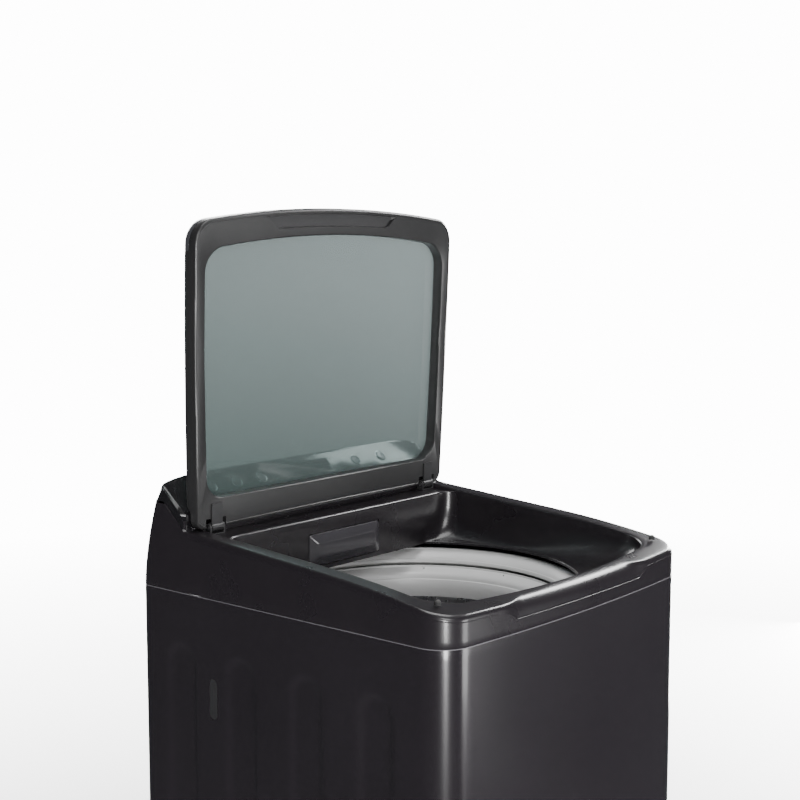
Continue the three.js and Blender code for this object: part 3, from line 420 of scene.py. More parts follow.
groups = {
    "grain": makeMouldedGrain(),
    "brushed": makeBrushedLines(),
    "paint": makeSprayedPaint(),
    "dust": makeSettledDust(),
    "zinc": makeZincSpangle(),
}
print("effects ready:", ", ".join(sorted(groups)))


# materials

def newMaterial(name, sockets):
    material = bpy.data.materials.new(name)
    material.use_nodes = True
    shader = material.node_tree.nodes["Principled BSDF"]
    for label, value in sockets.items():
        shader.inputs[label].default_value = value
    return material, material.node_tree, shader


def placeGroup(tree, name, values):
    node = tree.nodes.new("ShaderNodeGroup")
    node.node_tree = groups[name]
    for label, value in values.items():
        node.inputs[label].default_value = value
    return node.outputs


def blendColours(tree, share, first, second):
    node = tree.nodes.new("ShaderNodeMix")
    node.data_type = "RGBA"
    tree.links.new(share, node.inputs["Factor"])
    for socket, value in ((node.inputs[6], first), (node.inputs[7], second)):
        if isinstance(value, tuple):
            socket.default_value = (*value, 1.0)
        else:
            tree.links.new(value, socket)
    return node.outputs[2]


def addBump(tree, shader, height, strength, distance):
    node = addNode(tree, "ShaderNodeBump", Strength=strength, Distance=distance)
    tree.links.new(height, node.inputs["Height"])
    tree.links.new(node.outputs["Normal"], shader.inputs["Normal"])


dustColour = (0.3, 0.29, 0.28)


# Moulded plastic: two close colours in soft clouds, fine grain, a little dust on top
def plasticMaterial(name, dark, light, rough, grain, bump, dust, coat=0.0, ior=1.48):
    sockets = {"IOR": ior, "Coat Weight": coat, "Coat Roughness": 0.08}
    material, tree, shader = newMaterial(name, sockets)
    look = placeGroup(tree, "grain", {"Grain Size": grain})
    film = placeGroup(tree, "dust", {"Amount": dust})
    colour = blendColours(tree, mapped(tree, look["Cloud"], 0.1, 0.9, 0.0, 1.0), dark, light)
    dusty = blendColours(tree, film["Dust"], colour, (0.32, 0.31, 0.3))
    tree.links.new(dusty, shader.inputs["Base Color"])
    uneven = mapped(tree, look["Cloud"], 0.1, 0.9, rough - 0.04, rough + 0.06)
    dull = mathNode(tree, "MULTIPLY_ADD", film["Dust"], 0.35, uneven, limit=True)
    tree.links.new(dull, shader.inputs["Roughness"])
    addBump(tree, shader, look["Height"], bump, 0.0003)
    return material


# Metal with brushing: light and dark streaks, smudges in the gloss
def brushedMaterial(name, dark, light, rough, fineness=900.0, bump=0.15):
    material, tree, shader = newMaterial(name, {"Metallic": 1.0})
    look = placeGroup(tree, "brushed", {"Fineness": fineness})
    tree.links.new(blendColours(tree, look["Streak"], dark, light), shader.inputs["Base Color"])
    smudge = mapped(tree, look["Smudge"], 0.3, 0.75, rough - 0.05, rough + 0.12)
    tree.links.new(smudge, shader.inputs["Roughness"])
    addBump(tree, shader, look["Height"], bump, 0.0002)
    return material


# Zinc coated sheet, with its crystals and stains
def zincMaterial(name, dark, light, rough, crystal=90.0):
    material, tree, shader = newMaterial(name, {"Metallic": 1.0})
    look = placeGroup(tree, "zinc", {"Crystal Size": crystal})
    film = placeGroup(tree, "dust", {"Amount": 0.25})
    colour = blendColours(tree, look["Tone"], dark, light)
    stain = mapped(tree, look["Stain"], 0.55, 0.8, 0.0, 0.45)
    stained = blendColours(tree, stain, colour, (0.16, 0.15, 0.14))
    dusty = blendColours(tree, film["Dust"], stained, dustColour)
    tree.links.new(dusty, shader.inputs["Base Color"])
    uneven = mapped(tree, look["Stain"], 0.3, 0.8, rough - 0.06, rough + 0.2)
    tree.links.new(uneven, shader.inputs["Roughness"])
    addBump(tree, shader, look["Height"], 0.12, 0.0002)
    return material


# Sprayed steel of the cabinet: purple black with sparse flakes
def paintMaterial(name, dark, light, flake, rough):
    sockets = {"IOR": 1.5, "Coat Weight": 0.35, "Coat Roughness": 0.1}
    material, tree, shader = newMaterial(name, sockets)
    look = placeGroup(tree, "paint", {})
    film = placeGroup(tree, "dust", {"Amount": 0.012})
    colour = blendColours(tree, mapped(tree, look["Cloud"], 0.1, 0.9, 0.0, 1.0), dark, light)
    flaked = blendColours(tree, mathNode(tree, "MULTIPLY", look["Flake"], 0.6), colour, flake)
    dusty = blendColours(tree, film["Dust"], flaked, dustColour)
    tree.links.new(dusty, shader.inputs["Base Color"])
    uneven = mapped(tree, look["Cloud"], 0.1, 0.9, rough - 0.03, rough + 0.04)
    tree.links.new(uneven, shader.inputs["Roughness"])
    tree.links.new(mathNode(tree, "MULTIPLY", look["Flake"], 0.5), shader.inputs["Metallic"])
    addBump(tree, shader, look["Height"], 0.02, 0.0002)
    return material


# Grey green glass of the lid, with painted shade and light: darker near the hinge, lighter towards
# its free edge and its right side
def lidGlassMaterial():
    look = {
        # low is the painted shade colour near the hinge, high the painted light colour at the free
        # edge
        "low": (0.115, 0.16, 0.152),
        "high": (0.33, 0.385, 0.385),
        "paintedShadeLength": 430,
        "roughness": 0.03,
        "seeThrough": 0.72,
    }
    sockets = {"IOR": 1.5, "Transmission Weight": look["seeThrough"], "Metallic": 0.0}
    material, tree, shader = newMaterial("lidGlass", sockets)
    place = addNode(tree, "ShaderNodeSeparateXYZ")
    tree.links.new(objectPlace(tree), place.inputs["Vector"])
    foot, head = hingeZ * mm, (hingeZ + look["paintedShadeLength"]) * mm
    # painted shade near the hinge fading to painted light at the free edge and towards +X
    rise = mapped(tree, place.outputs["Z"], foot, head, 0.0, 0.8)
    across = mapped(tree, place.outputs["X"], -0.25, 0.28, 0.0, 0.35)
    share = mathNode(tree, "ADD", rise, across, limit=True)
    paintedShadeTint = blendColours(tree, share, look["low"], look["high"])
    tree.links.new(paintedShadeTint, shader.inputs["Base Color"])
    film = placeGroup(tree, "grain", {"Grain Size": 60.0, "Cloud Size": 9.0})
    rough = look["roughness"]
    uneven = mapped(tree, film["Cloud"], 0.4, 0.8, rough, rough + 0.05)
    tree.links.new(uneven, shader.inputs["Roughness"])
    return material


# Smoked window over the display
def displayGlassMaterial():
    sockets = {"IOR": 1.5, "Coat Weight": 0.5, "Coat Roughness": 0.03}
    material, tree, shader = newMaterial("displayGlass", sockets)
    look = placeGroup(tree, "grain", {"Grain Size": 900.0, "Cloud Size": 30.0})
    tone = blendColours(tree, look["Cloud"], (0.004, 0.005, 0.006), (0.009, 0.011, 0.013))
    tree.links.new(tone, shader.inputs["Base Color"])
    tree.links.new(mapped(tree, look["Cloud"], 0.3, 0.8, 0.05, 0.12), shader.inputs["Roughness"])
    return material


# Dim lit dashes of the display
def displayMarkMaterial():
    sockets = {"Roughness": 0.4, "Emission Strength": 0.25}
    material, tree, shader = newMaterial("displayMark", sockets)
    look = placeGroup(tree, "grain", {"Grain Size": 1500.0, "Cloud Size": 60.0})
    tone = blendColours(tree, look["Cloud"], (0.25, 0.32, 0.36), (0.42, 0.5, 0.54))
    tree.links.new(tone, shader.inputs["Base Color"])
    tree.links.new(tone, shader.inputs["Emission Color"])
    return material


# Printed circuit board: copper tracks under green lacquer
def boardMaterial():
    material, tree, shader = newMaterial("circuitBoard", {"IOR": 1.5})
    tracks = addNode(tree, "ShaderNodeTexBrick", Scale=70.0)
    tree.links.new(objectPlace(tree), tracks.inputs["Vector"])
    look = placeGroup(tree, "grain", {"Grain Size": 500.0})
    colour = blendColours(tree, tracks.outputs["Fac"], (0.01, 0.07, 0.03), (0.05, 0.2, 0.08))
    tree.links.new(colour, shader.inputs["Base Color"])
    tree.links.new(mapped(tree, look["Cloud"], 0.3, 0.7, 0.3, 0.45), shader.inputs["Roughness"])
    addBump(tree, shader, tracks.outputs["Fac"], 0.2, 0.0002)
    return material


# Dark colour, light colour, roughness, grain, bump, dust, then coat and IOR where they differ
plastics = {
    # painted highlight: light grey on the cabinet's rolled top edge, standing in for the bright line
    # along the seam
    "seamEdge": ((0.09, 0.085, 0.095), (0.13, 0.125, 0.135), 0.3, 1500, 0.03, 0.03),
    "coverPlastic": (
        (0.0085, 0.0068, 0.0086), (0.0115, 0.0096, 0.0118), 0.27, 1500, 0.02, 0.012, 0.2
    ),
    "consoleGloss": ((0.004, 0.004, 0.0045), (0.0065, 0.006, 0.007), 0.1, 700, 0.02, 0.03, 0.6),
    "lidPlastic": ((0.014, 0.014, 0.0144), (0.02, 0.02, 0.0204), 0.34, 1800, 0.08, 0.02),
    "gripPlastic": ((0.013, 0.013, 0.014), (0.022, 0.022, 0.023), 0.55, 700, 0.6, 0.03),
    "darkPlastic": ((0.012, 0.012, 0.013), (0.02, 0.02, 0.021), 0.5, 1200, 0.25, 0.15),
    "hingeDark": ((0.012, 0.012, 0.013), (0.02, 0.02, 0.021), 0.4, 1200, 0.12, 0.1),
    "drawerPlastic": (
        (0.028, 0.026, 0.03), (0.038, 0.036, 0.041), 0.24, 1500, 0.04, 0.012, 0.4
    ),
    "basePlastic": ((0.016, 0.016, 0.017), (0.028, 0.028, 0.029), 0.6, 900, 0.35, 0.3),
    "ringPlastic": ((0.62, 0.62, 0.615), (0.72, 0.72, 0.715), 0.27, 1600, 0.05, 0.03),
    "tubPlastic": ((0.5, 0.5, 0.49), (0.62, 0.62, 0.61), 0.45, 1100, 0.2, 0.15),
    "palePlastic": ((0.55, 0.56, 0.56), (0.68, 0.69, 0.69), 0.38, 1200, 0.15, 0.1),
    "rubber": ((0.01, 0.01, 0.01), (0.02, 0.02, 0.02), 0.75, 600, 0.5, 0.25, 0.0, 1.4),
    "motorPaint": ((0.05, 0.035, 0.028), (0.09, 0.06, 0.045), 0.5, 800, 0.3, 0.25),
}
# Dark streaks, light streaks, roughness, then fineness and bump where they differ
brushedMetals = {
    "chromeTrim": ((0.62, 0.63, 0.64), (0.8, 0.81, 0.82), 0.16, 1500, 0.03),
    "brushedBand": ((0.4, 0.4, 0.41), (0.58, 0.58, 0.59), 0.28),
    "buttonMetal": ((0.3, 0.3, 0.31), (0.5, 0.5, 0.51), 0.28, 1300),
    "basketSteel": ((0.42, 0.42, 0.43), (0.62, 0.62, 0.63), 0.24, 700),
    "brightSteel": ((0.45, 0.45, 0.46), (0.68, 0.68, 0.69), 0.26, 1200),
}
# Dark crystals, light crystals, roughness, then crystal size where it differs
zincs = {
    "zincSheet": ((0.26, 0.265, 0.27), (0.46, 0.465, 0.47), 0.4),
    "castAlloy": ((0.3, 0.3, 0.3), (0.42, 0.42, 0.42), 0.5, 600),
}
paint = ((0.008, 0.0065, 0.0082), (0.011, 0.0092, 0.0113), (0.04, 0.036, 0.043), 0.25)
finishes = {
    "cabinetPaint": paintMaterial("cabinetPaint", *paint),
    "lidGlass": lidGlassMaterial(),
    "displayGlass": displayGlassMaterial(),
    "displayMark": displayMarkMaterial(),
    "circuitBoard": boardMaterial(),
}
families = ((plasticMaterial, plastics), (brushedMaterial, brushedMetals), (zincMaterial, zincs))
for make, looks in families:
    for name, look in looks.items():
        finishes[name] = make(name, *look)
print("materials ready:", len(finishes))


# steel cabinet

cabinet = {
    "frontBow": 15,
    "frontRadius": 40,
    "rearRadius": 18,
    "bottom": lowOf("cabinet_shell").z,
    "edgeRound": 1.2,
    "flange": 9,
    "sheet": 1.2,
    "ribWidth": 65,
    "ribDepth": 5,
    "ribSlope": 13,
    "ribPlaces": (200, 82, -39, -159),
    "ribTop": 70,
    "ribBottom": 150,
    "service": (214, 140, 700),  # half width, bottom and top of the rear opening
    "pipeNotch": (63, 127, 105),  # from x, to x and top of the notch for the drain
    "sideSlot": (128, 144, 170, 112),  # from y, to y, then its lower and upper end below the seam
}
frontY = lowOf("cabinet_shell").y + cabinet["frontBow"]


def cabinetLoop(inset, **steps):
    half = halfWidth - inset
    radius = max(4, cabinet["frontRadius"] - inset)
    rear = max(3, cabinet["rearRadius"] - inset)
    loop = roundedLoop(half, frontY + inset, rearY - inset, radius, rear, **steps)
    return [bowed(p, half, frontY, cabinet["frontBow"]) for p in loop]


# How far a side wall is pressed in at a place on it
def ribPress(y, z):
    deepest = 0.0
    half = cabinet["ribWidth"] / 2
    top, bottom = seam - cabinet["ribTop"], cabinet["ribBottom"]
    for middle in cabinet["ribPlaces"]:
        nearest = clamp(z, bottom + half, top - half)
        edge = half - math.hypot(y - middle, z - nearest)
        deepest = max(deepest, cabinet["ribDepth"] * smooth(0, cabinet["ribSlope"], edge))
    return deepest


# Upright slot with round ends in the left side, from x0 to x1
def slotShape(x0, x1, inset):
    y0, y1, low, high = cabinet["sideSlot"]
    half = (y1 - y0) / 2 - inset
    middle = (y0 + y1) / 2
    outline = []
    for start, z in ((0, seam - high - half - inset), (math.pi, seam - low + half + inset)):
        turns = [start + a for a in spread(0, math.pi, 12)]
        outline += [(middle + half * math.cos(a), z + half * math.sin(a)) for a in turns]
    ends = [[(x, y, z) for y, z in outline] for x in (x0, x1)]
    return Shape().grid(ends, wrapCols=True).cap(ends[0][::-1]).cap(ends[1])


def makeCabinet():
    bottom, top = cabinet["bottom"], seam
    edge = cabinet["edgeRound"]
    half = cabinet["ribWidth"] / 2
    ribTop = top - cabinet["ribTop"]
    side, x1 = halfWidth, halfWidth - cabinet["rearRadius"]
    service, pipe = cabinet["service"], cabinet["pipeNotch"]
    heights = [bottom, bottom + edge]
    heights += spread(60, pipe[2], 3) + spread(125, service[1], 2)
    heights += spread(144, cabinet["ribBottom"] + half, 10)
    heights += spread(230, 690, 12) + [service[2]] + spread(ribTop - half, ribTop + 3, 14)
    heights += spread(760, top - edge, 4)
    rearStops = [x1, service[0], pipe[1], pipe[0], 0, -pipe[0] - 60, -service[0], -x1]
    loop = cabinetLoop(0, arcSteps=12, edgeSteps=30, sideSteps=110)
    rear = [p for p in loop if p[1] > rearY - 0.01 and abs(p[0]) < x1 - 1]
    firstRear = loop.index(rear[0])
    loop = [p for p in loop if p not in rear]
    straight = []
    for a, b in zip(rearStops, rearStops[1:]):
        straight += [(x, rearY) for x in spread(a, b, max(2, round(abs(a - b) / 24)))[:-1]]
    loop[firstRear:firstRear] = straight[1:]

    def pressed(x, y, z):
        if abs(x) > side - 0.5:
            return x - math.copysign(ribPress(y, z), x)
        return x

    inner = cabinetLoop(cabinet["flange"], arcSteps=12, edgeSteps=30, sideSteps=110)
    rows = [[(x, y, z) for x, y in loop] for z in heights]
    rows = [[(pressed(x, y, z), y, z) for x, y, z in row] for row in rows]

    def inwards(x, y, amount):
        length = math.hypot(x, y)
        return (x - x / length * amount, y - y / length * amount)

    rolled = [rows[-1]]
    for turn in (0.35, 0.75, 1.2, math.pi / 2):
        drop, pull = edge * (1 - math.sin(turn)), edge * (1 - math.cos(turn))
        rolled.append([(*inwards(x, y, pull), top - drop) for x, y in loop])
    flange = [rolled[-1], [(*inwards(x, y, cabinet["flange"]), top) for x, y in loop]]

    def keep(middle):
        x, y, z = middle
        if y < rearY - 0.5:
            return True
        if abs(x) < service[0] and service[1] < z < service[2]:
            return False
        return not (pipe[0] < x < pipe[1] and z < pipe[2])

    shape = Shape().grid(rows, wrapCols=True, keep=keep)
    # the rolled top edge takes the light grey of a painted highlight along the seam
    shape.grid(rolled, wrapCols=True, mark=1).grid(flange, wrapCols=True)
    looks = [finishes["cabinetPaint"], finishes["seamEdge"]]
    piece = makePiece("cabinetWrapper", shape, looks, outward=False)
    thicken(piece, cabinet["sheet"], 32)
    cutAway(piece, slotShape(-halfWidth - 3, -halfWidth + 5, 0), 32)
    attach(piece, "cabinet", "cabinet_shell")
    plugShape = slotShape(-halfWidth + 0.9, -halfWidth + 4, 0.15)
    plug = makePiece("sideSlotPlug", plugShape, finishes["darkPlastic"])
    attach(plug, "cabinet")


makeCabinet()
print("cabinet made")


# top cover, with its bowl and finger scoop

cover = {
    "rimRear": 85.5,
    "rimSlope": 0.075,
    "frontFall": 14,
    "frontFallStart": -60,
    "edgeRound": 8,
    "innerRound": 4.5,
    "bowlInset": 30,
    "bowlFrontInset": 27,
    "bowlBow": 24,
    "bowlFrontRadius": 46,
    "bowlRearRadius": 26,
    "deckHeight": 78,
    "deckRound": 3.5,
    "mouthRadius": 238,
    "floorHeight": 3,
    "lipDrop": 3.6,
    "scoopHalf": 150,
    "scoopSoftness": 22,
    "scoopReach": 18.5,
    "ledgeHeight": 17,
    "ledgeDepth": 1.6,
    "consoleFoot": 192,
    "ridgeTop": 124,
    "slope": 43,
    "lean": 42,
    "leanPower": 1.63,
    "leanHeight": 156,
    "wall": 2.6,
    "drawerHole": (79, 5.5, 56),  # half width, bottom and top above the seam
    "inletHole": (-196, -104, 22, 66),  # from x, to x, bottom and top above the seam
    "faceHeight": 22,
}
deckFront = 145
slopeTan = math.tan(math.radians(cover["slope"]))


def rimAt(y):
    fall = max(0, cover["frontFallStart"] - y) / (cover["frontFallStart"] + rearY)
    return cover["rimRear"] - cover["rimSlope"] * (hingeY - y) - cover["frontFall"] * fall * fall


def backAt(z):
    return rearY - cover["lean"] * (max(0, z) / cover["leanHeight"]) ** cover["leanPower"]


capFoot = rimAt(cover["consoleFoot"]) + cover["faceHeight"]


# Columns down the right side, round the front and up the left: an outer and an inner point each
def rimColumns():
    outerFront, innerFront = frontY, -(rearY - cover["bowlFrontInset"]) + cover["bowlBow"]
    outerHalf, innerHalf = halfWidth, halfWidth - cover["bowlInset"]
    outerRadius, innerRadius = cabinet["frontRadius"], cover["bowlFrontRadius"]
    innerStart = innerFront + innerRadius
    outerStart = outerFront + outerRadius
    foot = cover["consoleFoot"]
    corner = deckFront - cover["bowlRearRadius"]
    innerYs = spread(foot, corner, 8)[:-1] + spread(corner, innerStart, 40)
    columns = []
    for y in innerYs:
        share = (foot - y) / (foot - innerStart)
        columns.append(((outerHalf, between(foot, outerStart, share)), (innerHalf, y)))
    for i in range(1, 16):
        a = -math.pi / 2 * i / 16
        outer = (outerHalf - outerRadius * (1 - math.cos(a)), outerStart + outerRadius * math.sin(a))
        inner = (innerHalf - innerRadius * (1 - math.cos(a)), innerStart + innerRadius * math.sin(a))
        columns.append((outer, inner))
    for share in spread(1, 0, 52):
        outer = ((outerHalf - outerRadius) * share, outerFront)
        inner = ((innerHalf - innerRadius) * share, innerFront)
        columns.append((outer, inner))
    columns = [
        (
            bowed(o, outerHalf, outerFront, cabinet["frontBow"]),
            bowed(i, innerHalf, innerFront, cover["bowlBow"]),
        )
        for o, i in columns
    ]
    mirrored = [((-o[0], o[1]), (-i[0], i[1])) for o, i in reversed(columns[:-1])]
    return columns + mirrored


def mouthPoint(x, y):
    angle = math.atan2(y - tubY, x)
    reach = cover["mouthRadius"]
    if math.sin(angle) > 0.01:
        reach = min(reach, (deckFront - tubY) / math.sin(angle))
    return (reach * math.cos(angle), tubY + reach * math.sin(angle))


# Rows of one column from the seam up the outside and over to the inner edge of the rim
def outsideRows(outer, inner):
    (xo, yo), (xi, yi) = outer, inner
    width = math.hypot(xi - xo, yi - yo)
    across, scoop, soft = abs(xo), cover["scoopHalf"], cover["scoopSoftness"]
    dip = low = 0.0
    if yo < -rearY + 30:  # only along the front
        dip = 1 - smooth(scoop - soft, scoop + soft * 0.3, across)
        low = 1 - smooth(scoop - soft * 0.3, scoop + soft, across)
    fade = 1 - smooth(cover["consoleFoot"] - 14, cover["consoleFoot"], yo) * 0.93
    rounding = cover["edgeRound"] * fade
    reach = between(rounding, cover["scoopReach"], dip)
    ledge = cover["ledgeDepth"] * low
    top = rimAt(yo)
    start = between(top - rounding, cover["ledgeHeight"], low)

    def at(inset, z):
        share = inset / width
        return (between(xo, xi, share), between(yo, yi, share), coverBase + z)

    rows = [at(1.3, 0.0), at(0.35, 0.35), at(0, 1.4)]
    rows += [at(0, z) for z in spread(1.4, start - 0.6, 4)[1:]]
    rows += [at(0, start - 0.3), at(0.3, start), at(max(0.4, ledge), start + 0.02)]
    for k in range(1, 11):
        turn = math.pi / 2 * k / 10
        inset = ledge + reach * (1 - math.cos(turn))
        rise = rimAt(between(yo, yi, inset / width)) - start
        rows.append(at(inset, start + rise * math.sin(turn)))
    edge = ledge + reach
    stop = width - cover["innerRound"]
    for inset in spread(edge, stop, 4)[1:]:
        rows.append(at(inset, rimAt(between(yo, yi, inset / width))))
    for k in range(1, 6):
        turn = math.pi / 2 * k / 5
        inset = stop + cover["innerRound"] * math.sin(turn)
        z = rimAt(between(yo, yi, inset / width)) - cover["innerRound"] * (1 - math.cos(turn))
        rows.append(at(inset, z))
    return rows


# Rows down the bowl wall from its top at height top to the mouth, then over its lip
def bowlRows(x, y, top, levels=None):
    mx, my = mouthPoint(x, y)
    low = cover["floorHeight"]
    rows = []
    for k in range(1, 13):
        turn = math.pi / 2 * k / 12
        fall = math.sin(turn)
        inwards = 1 - math.cos(turn)
        if levels:
            weight, heights = levels
            target = (top - heights[k]) / (top - low)
            fall = between(fall, target, weight)
            inwards = between(inwards, 1 - math.sqrt(max(0, 1 - min(1, fall) ** 2)), weight)
        z = coverBase + top - (top - low) * fall
        rows.append((between(x, mx, inwards), between(y, my, inwards), z))
    reach = math.hypot(mx, my - tubY)
    for pull, drop in ((1.0, 0.3), (1.9, 1.2), (2.2, 2.6), (2.2, cover["lipDrop"])):
        share = 1 - pull / reach
        if mouthPoint(x, y)[1] > deckFront - 0.5:
            share = 1.0
        rows.append((mx * share, tubY + (my - tubY) * share, coverBase + low - drop))
    return rows


# Outside and rim, then the bowl's front and sides
def addRimAndBowl(shape):
    columns = rimColumns()
    corner = deckFront - cover["bowlRearRadius"]
    deckZ = cover["deckHeight"]
    outside = [outsideRows(o, i) for o, i in columns]
    shape.grid(list(zip(*outside)))
    bowlColumns = [i for o, i in columns if i[1] <= corner + 0.01]
    tops = [rimAt(y) - cover["innerRound"] for x, y in bowlColumns]
    bowl = []
    for (x, y), top in zip(bowlColumns, tops):
        bowl.append([(x, y, coverBase + top)] + bowlRows(x, y, top))
    shape.grid(list(zip(*bowl)))
    for side in (1, -1):  # the short step from the rim down to the deck, beside the hinges
        step = [i for o, i in columns if i[1] >= corner - 0.01 and i[0] * side > 0]
        high = [(x, y, coverBase + rimAt(y) - cover["innerRound"]) for x, y in step]
        shape.grid([high, [(x, y, coverBase + deckZ - 2) for x, y in step]])


# Rear wall of the bowl with the drawer's hole, then the deck behind it
def addRearWall(shape):
    corner, deckZ = deckFront - cover["bowlRearRadius"], cover["deckHeight"]
    inner = halfWidth - cover["bowlInset"]
    radius = cover["bowlRearRadius"]
    hole = cover["drawerHole"]
    arc = [
        (inner - radius * (1 - math.cos(a)), corner + radius * math.sin(a))
        for a in spread(0, math.pi / 2, 8)
    ]
    half = [(x, deckFront) for x in spread(inner - radius, hole[0], 18)[1:]]
    half += [(x, deckFront) for x in spread(hole[0], 0, 8)[1:]]
    rear = arc + half
    rear += [(-x, y) for x, y in reversed(rear[:-1])]
    wallTop = deckZ - cover["deckRound"]
    heights = [wallTop, 66, hole[2], 48, 40, 32, 24, 18, 12, hole[1], 4.6, 3.8]
    heights.append(cover["floorHeight"])
    wall = []
    for x, y in rear:
        rounding = smooth(0, 1, (inner - abs(x)) / radius)
        top = between(rimAt(corner) - cover["innerRound"], wallTop, rounding)
        weight = 1 - smooth(100, 185, abs(x))
        wall.append([(x, y, coverBase + top)] + bowlRows(x, y, top, (weight, heights)))
    outline = list(zip(*wall))
    depthTo = cover["consoleFoot"] + 3
    over = []
    for (x, y), column in zip(rear, wall):
        top = column[0][2]
        rise = coverBase + deckZ - top
        rows = []
        for k in range(1, 5):
            turn = math.pi / 2 * k / 4
            inset = cover["deckRound"] * (1 - math.cos(turn)) * (rise / cover["deckRound"])
            rows.append((x, y + inset, top + rise * math.sin(turn)))
        start = rows[-1][1]
        rows += [(x, between(start, depthTo, t), coverBase + deckZ) for t in (0.05, 0.35, 0.7, 1.0)]
        over.append([column[0]] + rows)

    def solidWall(middle):
        x, y, z = middle
        inside = abs(x) < hole[0] and coverBase + hole[1] < z < coverBase + hole[2]
        return not (inside and y > deckFront - 1)

    shape.grid(outline, keep=solidWall)
    shape.grid(list(zip(*over)))
    foot = cover["consoleFoot"]
    along = spread(-inner, inner, 10)
    shape.grid([[(x, depthTo, coverBase + z) for x in along] for z in (deckZ, capFoot - 8)])
    for side in (-1, 1):
        rest = [side * x for x in spread(inner, halfWidth - 2, 3)]
        levels = ((foot - 1, -2.5), (depthTo, -2.5), (depthTo, 14))
        shape.grid([[(x, y, coverBase + rimAt(foot) + rise) for x in rest] for y, rise in levels])


# Sides and back behind the console's foot, up to the line that the console lies on
def addBack(shape):
    foot = cover["consoleFoot"]
    sideSteps, bend = 48, cabinet["rearRadius"]
    stops = [(halfWidth, y) for y in spread(foot, rearY - bend, sideSteps)]
    stops += [
        (halfWidth - bend * (1 - math.cos(a)), rearY - bend * (1 - math.sin(a)))
        for a in spread(0, math.pi / 2, 10)[1:]
    ]
    holeStart, holeEnd, holeLow, holeHigh = cover["inletHole"]
    marks = [halfWidth - bend, 150, 60, 0, -60]
    marks += [holeEnd, (holeStart + holeEnd) / 2, holeStart, -halfWidth + bend]
    for a, b in zip(marks, marks[1:]):
        stops += [(x, rearY) for x in spread(a, b, 4)[1:]]
    stops += [(-x, y) for x, y in reversed(stops[: sideSteps + 11]) if (-x, y) not in stops]

    def leaned(y, z):
        share = max(0, y - foot) / (rearY - foot)
        return y - (rearY - backAt(z)) * share

    def ridgeHeight(y):
        z = cover["ridgeTop"]
        for _ in range(40):
            target = min(cover["ridgeTop"], rimAt(foot) + (leaned(y, z) - foot) * slopeTan)
            z = between(z, target, 0.5)
        return z

    steps = [holeLow, 33, 44, 55, holeHigh, 78, 92, 108, cover["ridgeTop"]]
    back = []
    for x, y in stops:
        top = ridgeHeight(y)
        centre = math.hypot(x, y)
        tucks = ((1.3, 0.0), (0.35, 0.35))
        rows = [(x - x / centre * pull, y - y / centre * pull, z) for pull, z in tucks]
        levels = [1.4, 11] + [step * top / cover["ridgeTop"] for step in steps]
        rows += [(x, leaned(y, z), z) for z in levels]
        rows.append((x - x / centre * 5, leaned(y, top) - max(0, y) / centre * 5, top - 0.6))
        back.append([(px, py, coverBase + pz) for px, py, pz in rows])

    def solidBack(middle):
        x, y, z = middle
        inside = holeStart < x < holeEnd and holeLow < z - coverBase < holeHigh
        return not (inside and y > rearY - 60)

    shape.grid(list(zip(*back)), keep=solidBack)


def makeTopCover():
    shape = Shape()
    addRimAndBowl(shape)
    addRearWall(shape)
    addBack(shape)
    piece = makePiece("topCover", shape, finishes["coverPlastic"], edgeAngle=50)
    thicken(piece, cover["wall"], 50)
    attach(piece, "cabinet", "top_cover")


makeTopCover()
print("top cover made")


# Console: the glossy cap that lies over the ridge, its display and its buttons

console = {
    "top": 156,
    "endDrop": 10,
    "flatHalf": 205,
    "chamfer": 6.5,
    "faceRound": 5,
    "displayHalf": (52, 15),
    "windowSink": 3,
    "windowCorner": 3,
    "windowRound": 0.35,
    "windowGap": 0.4,
    "dashRow": (-40, 12.5, 7),  # start, pitch and length of the middle row
    "sideDashes": (22, 7, 4),  # the same for the two short rows at the right
    "dashThick": 1.2,
    "buttonRadius": 9,
    "buttonGap": 0.35,
    "pocket": 8,
    "buttons": {
        "power_button": -200,
        "water_level_button": -150,
        "program_button": -100,
        "temperature_button": 110,
        "start_pause_button": 170,
    },
}
facePlace = Matrix.Translation(
    Vector((0, cover["consoleFoot"] + 30, coverBase + capFoot + 30 * slopeTan)) * mm
) @ Matrix.Rotation(math.radians(cover["slope"]), 4, "X")


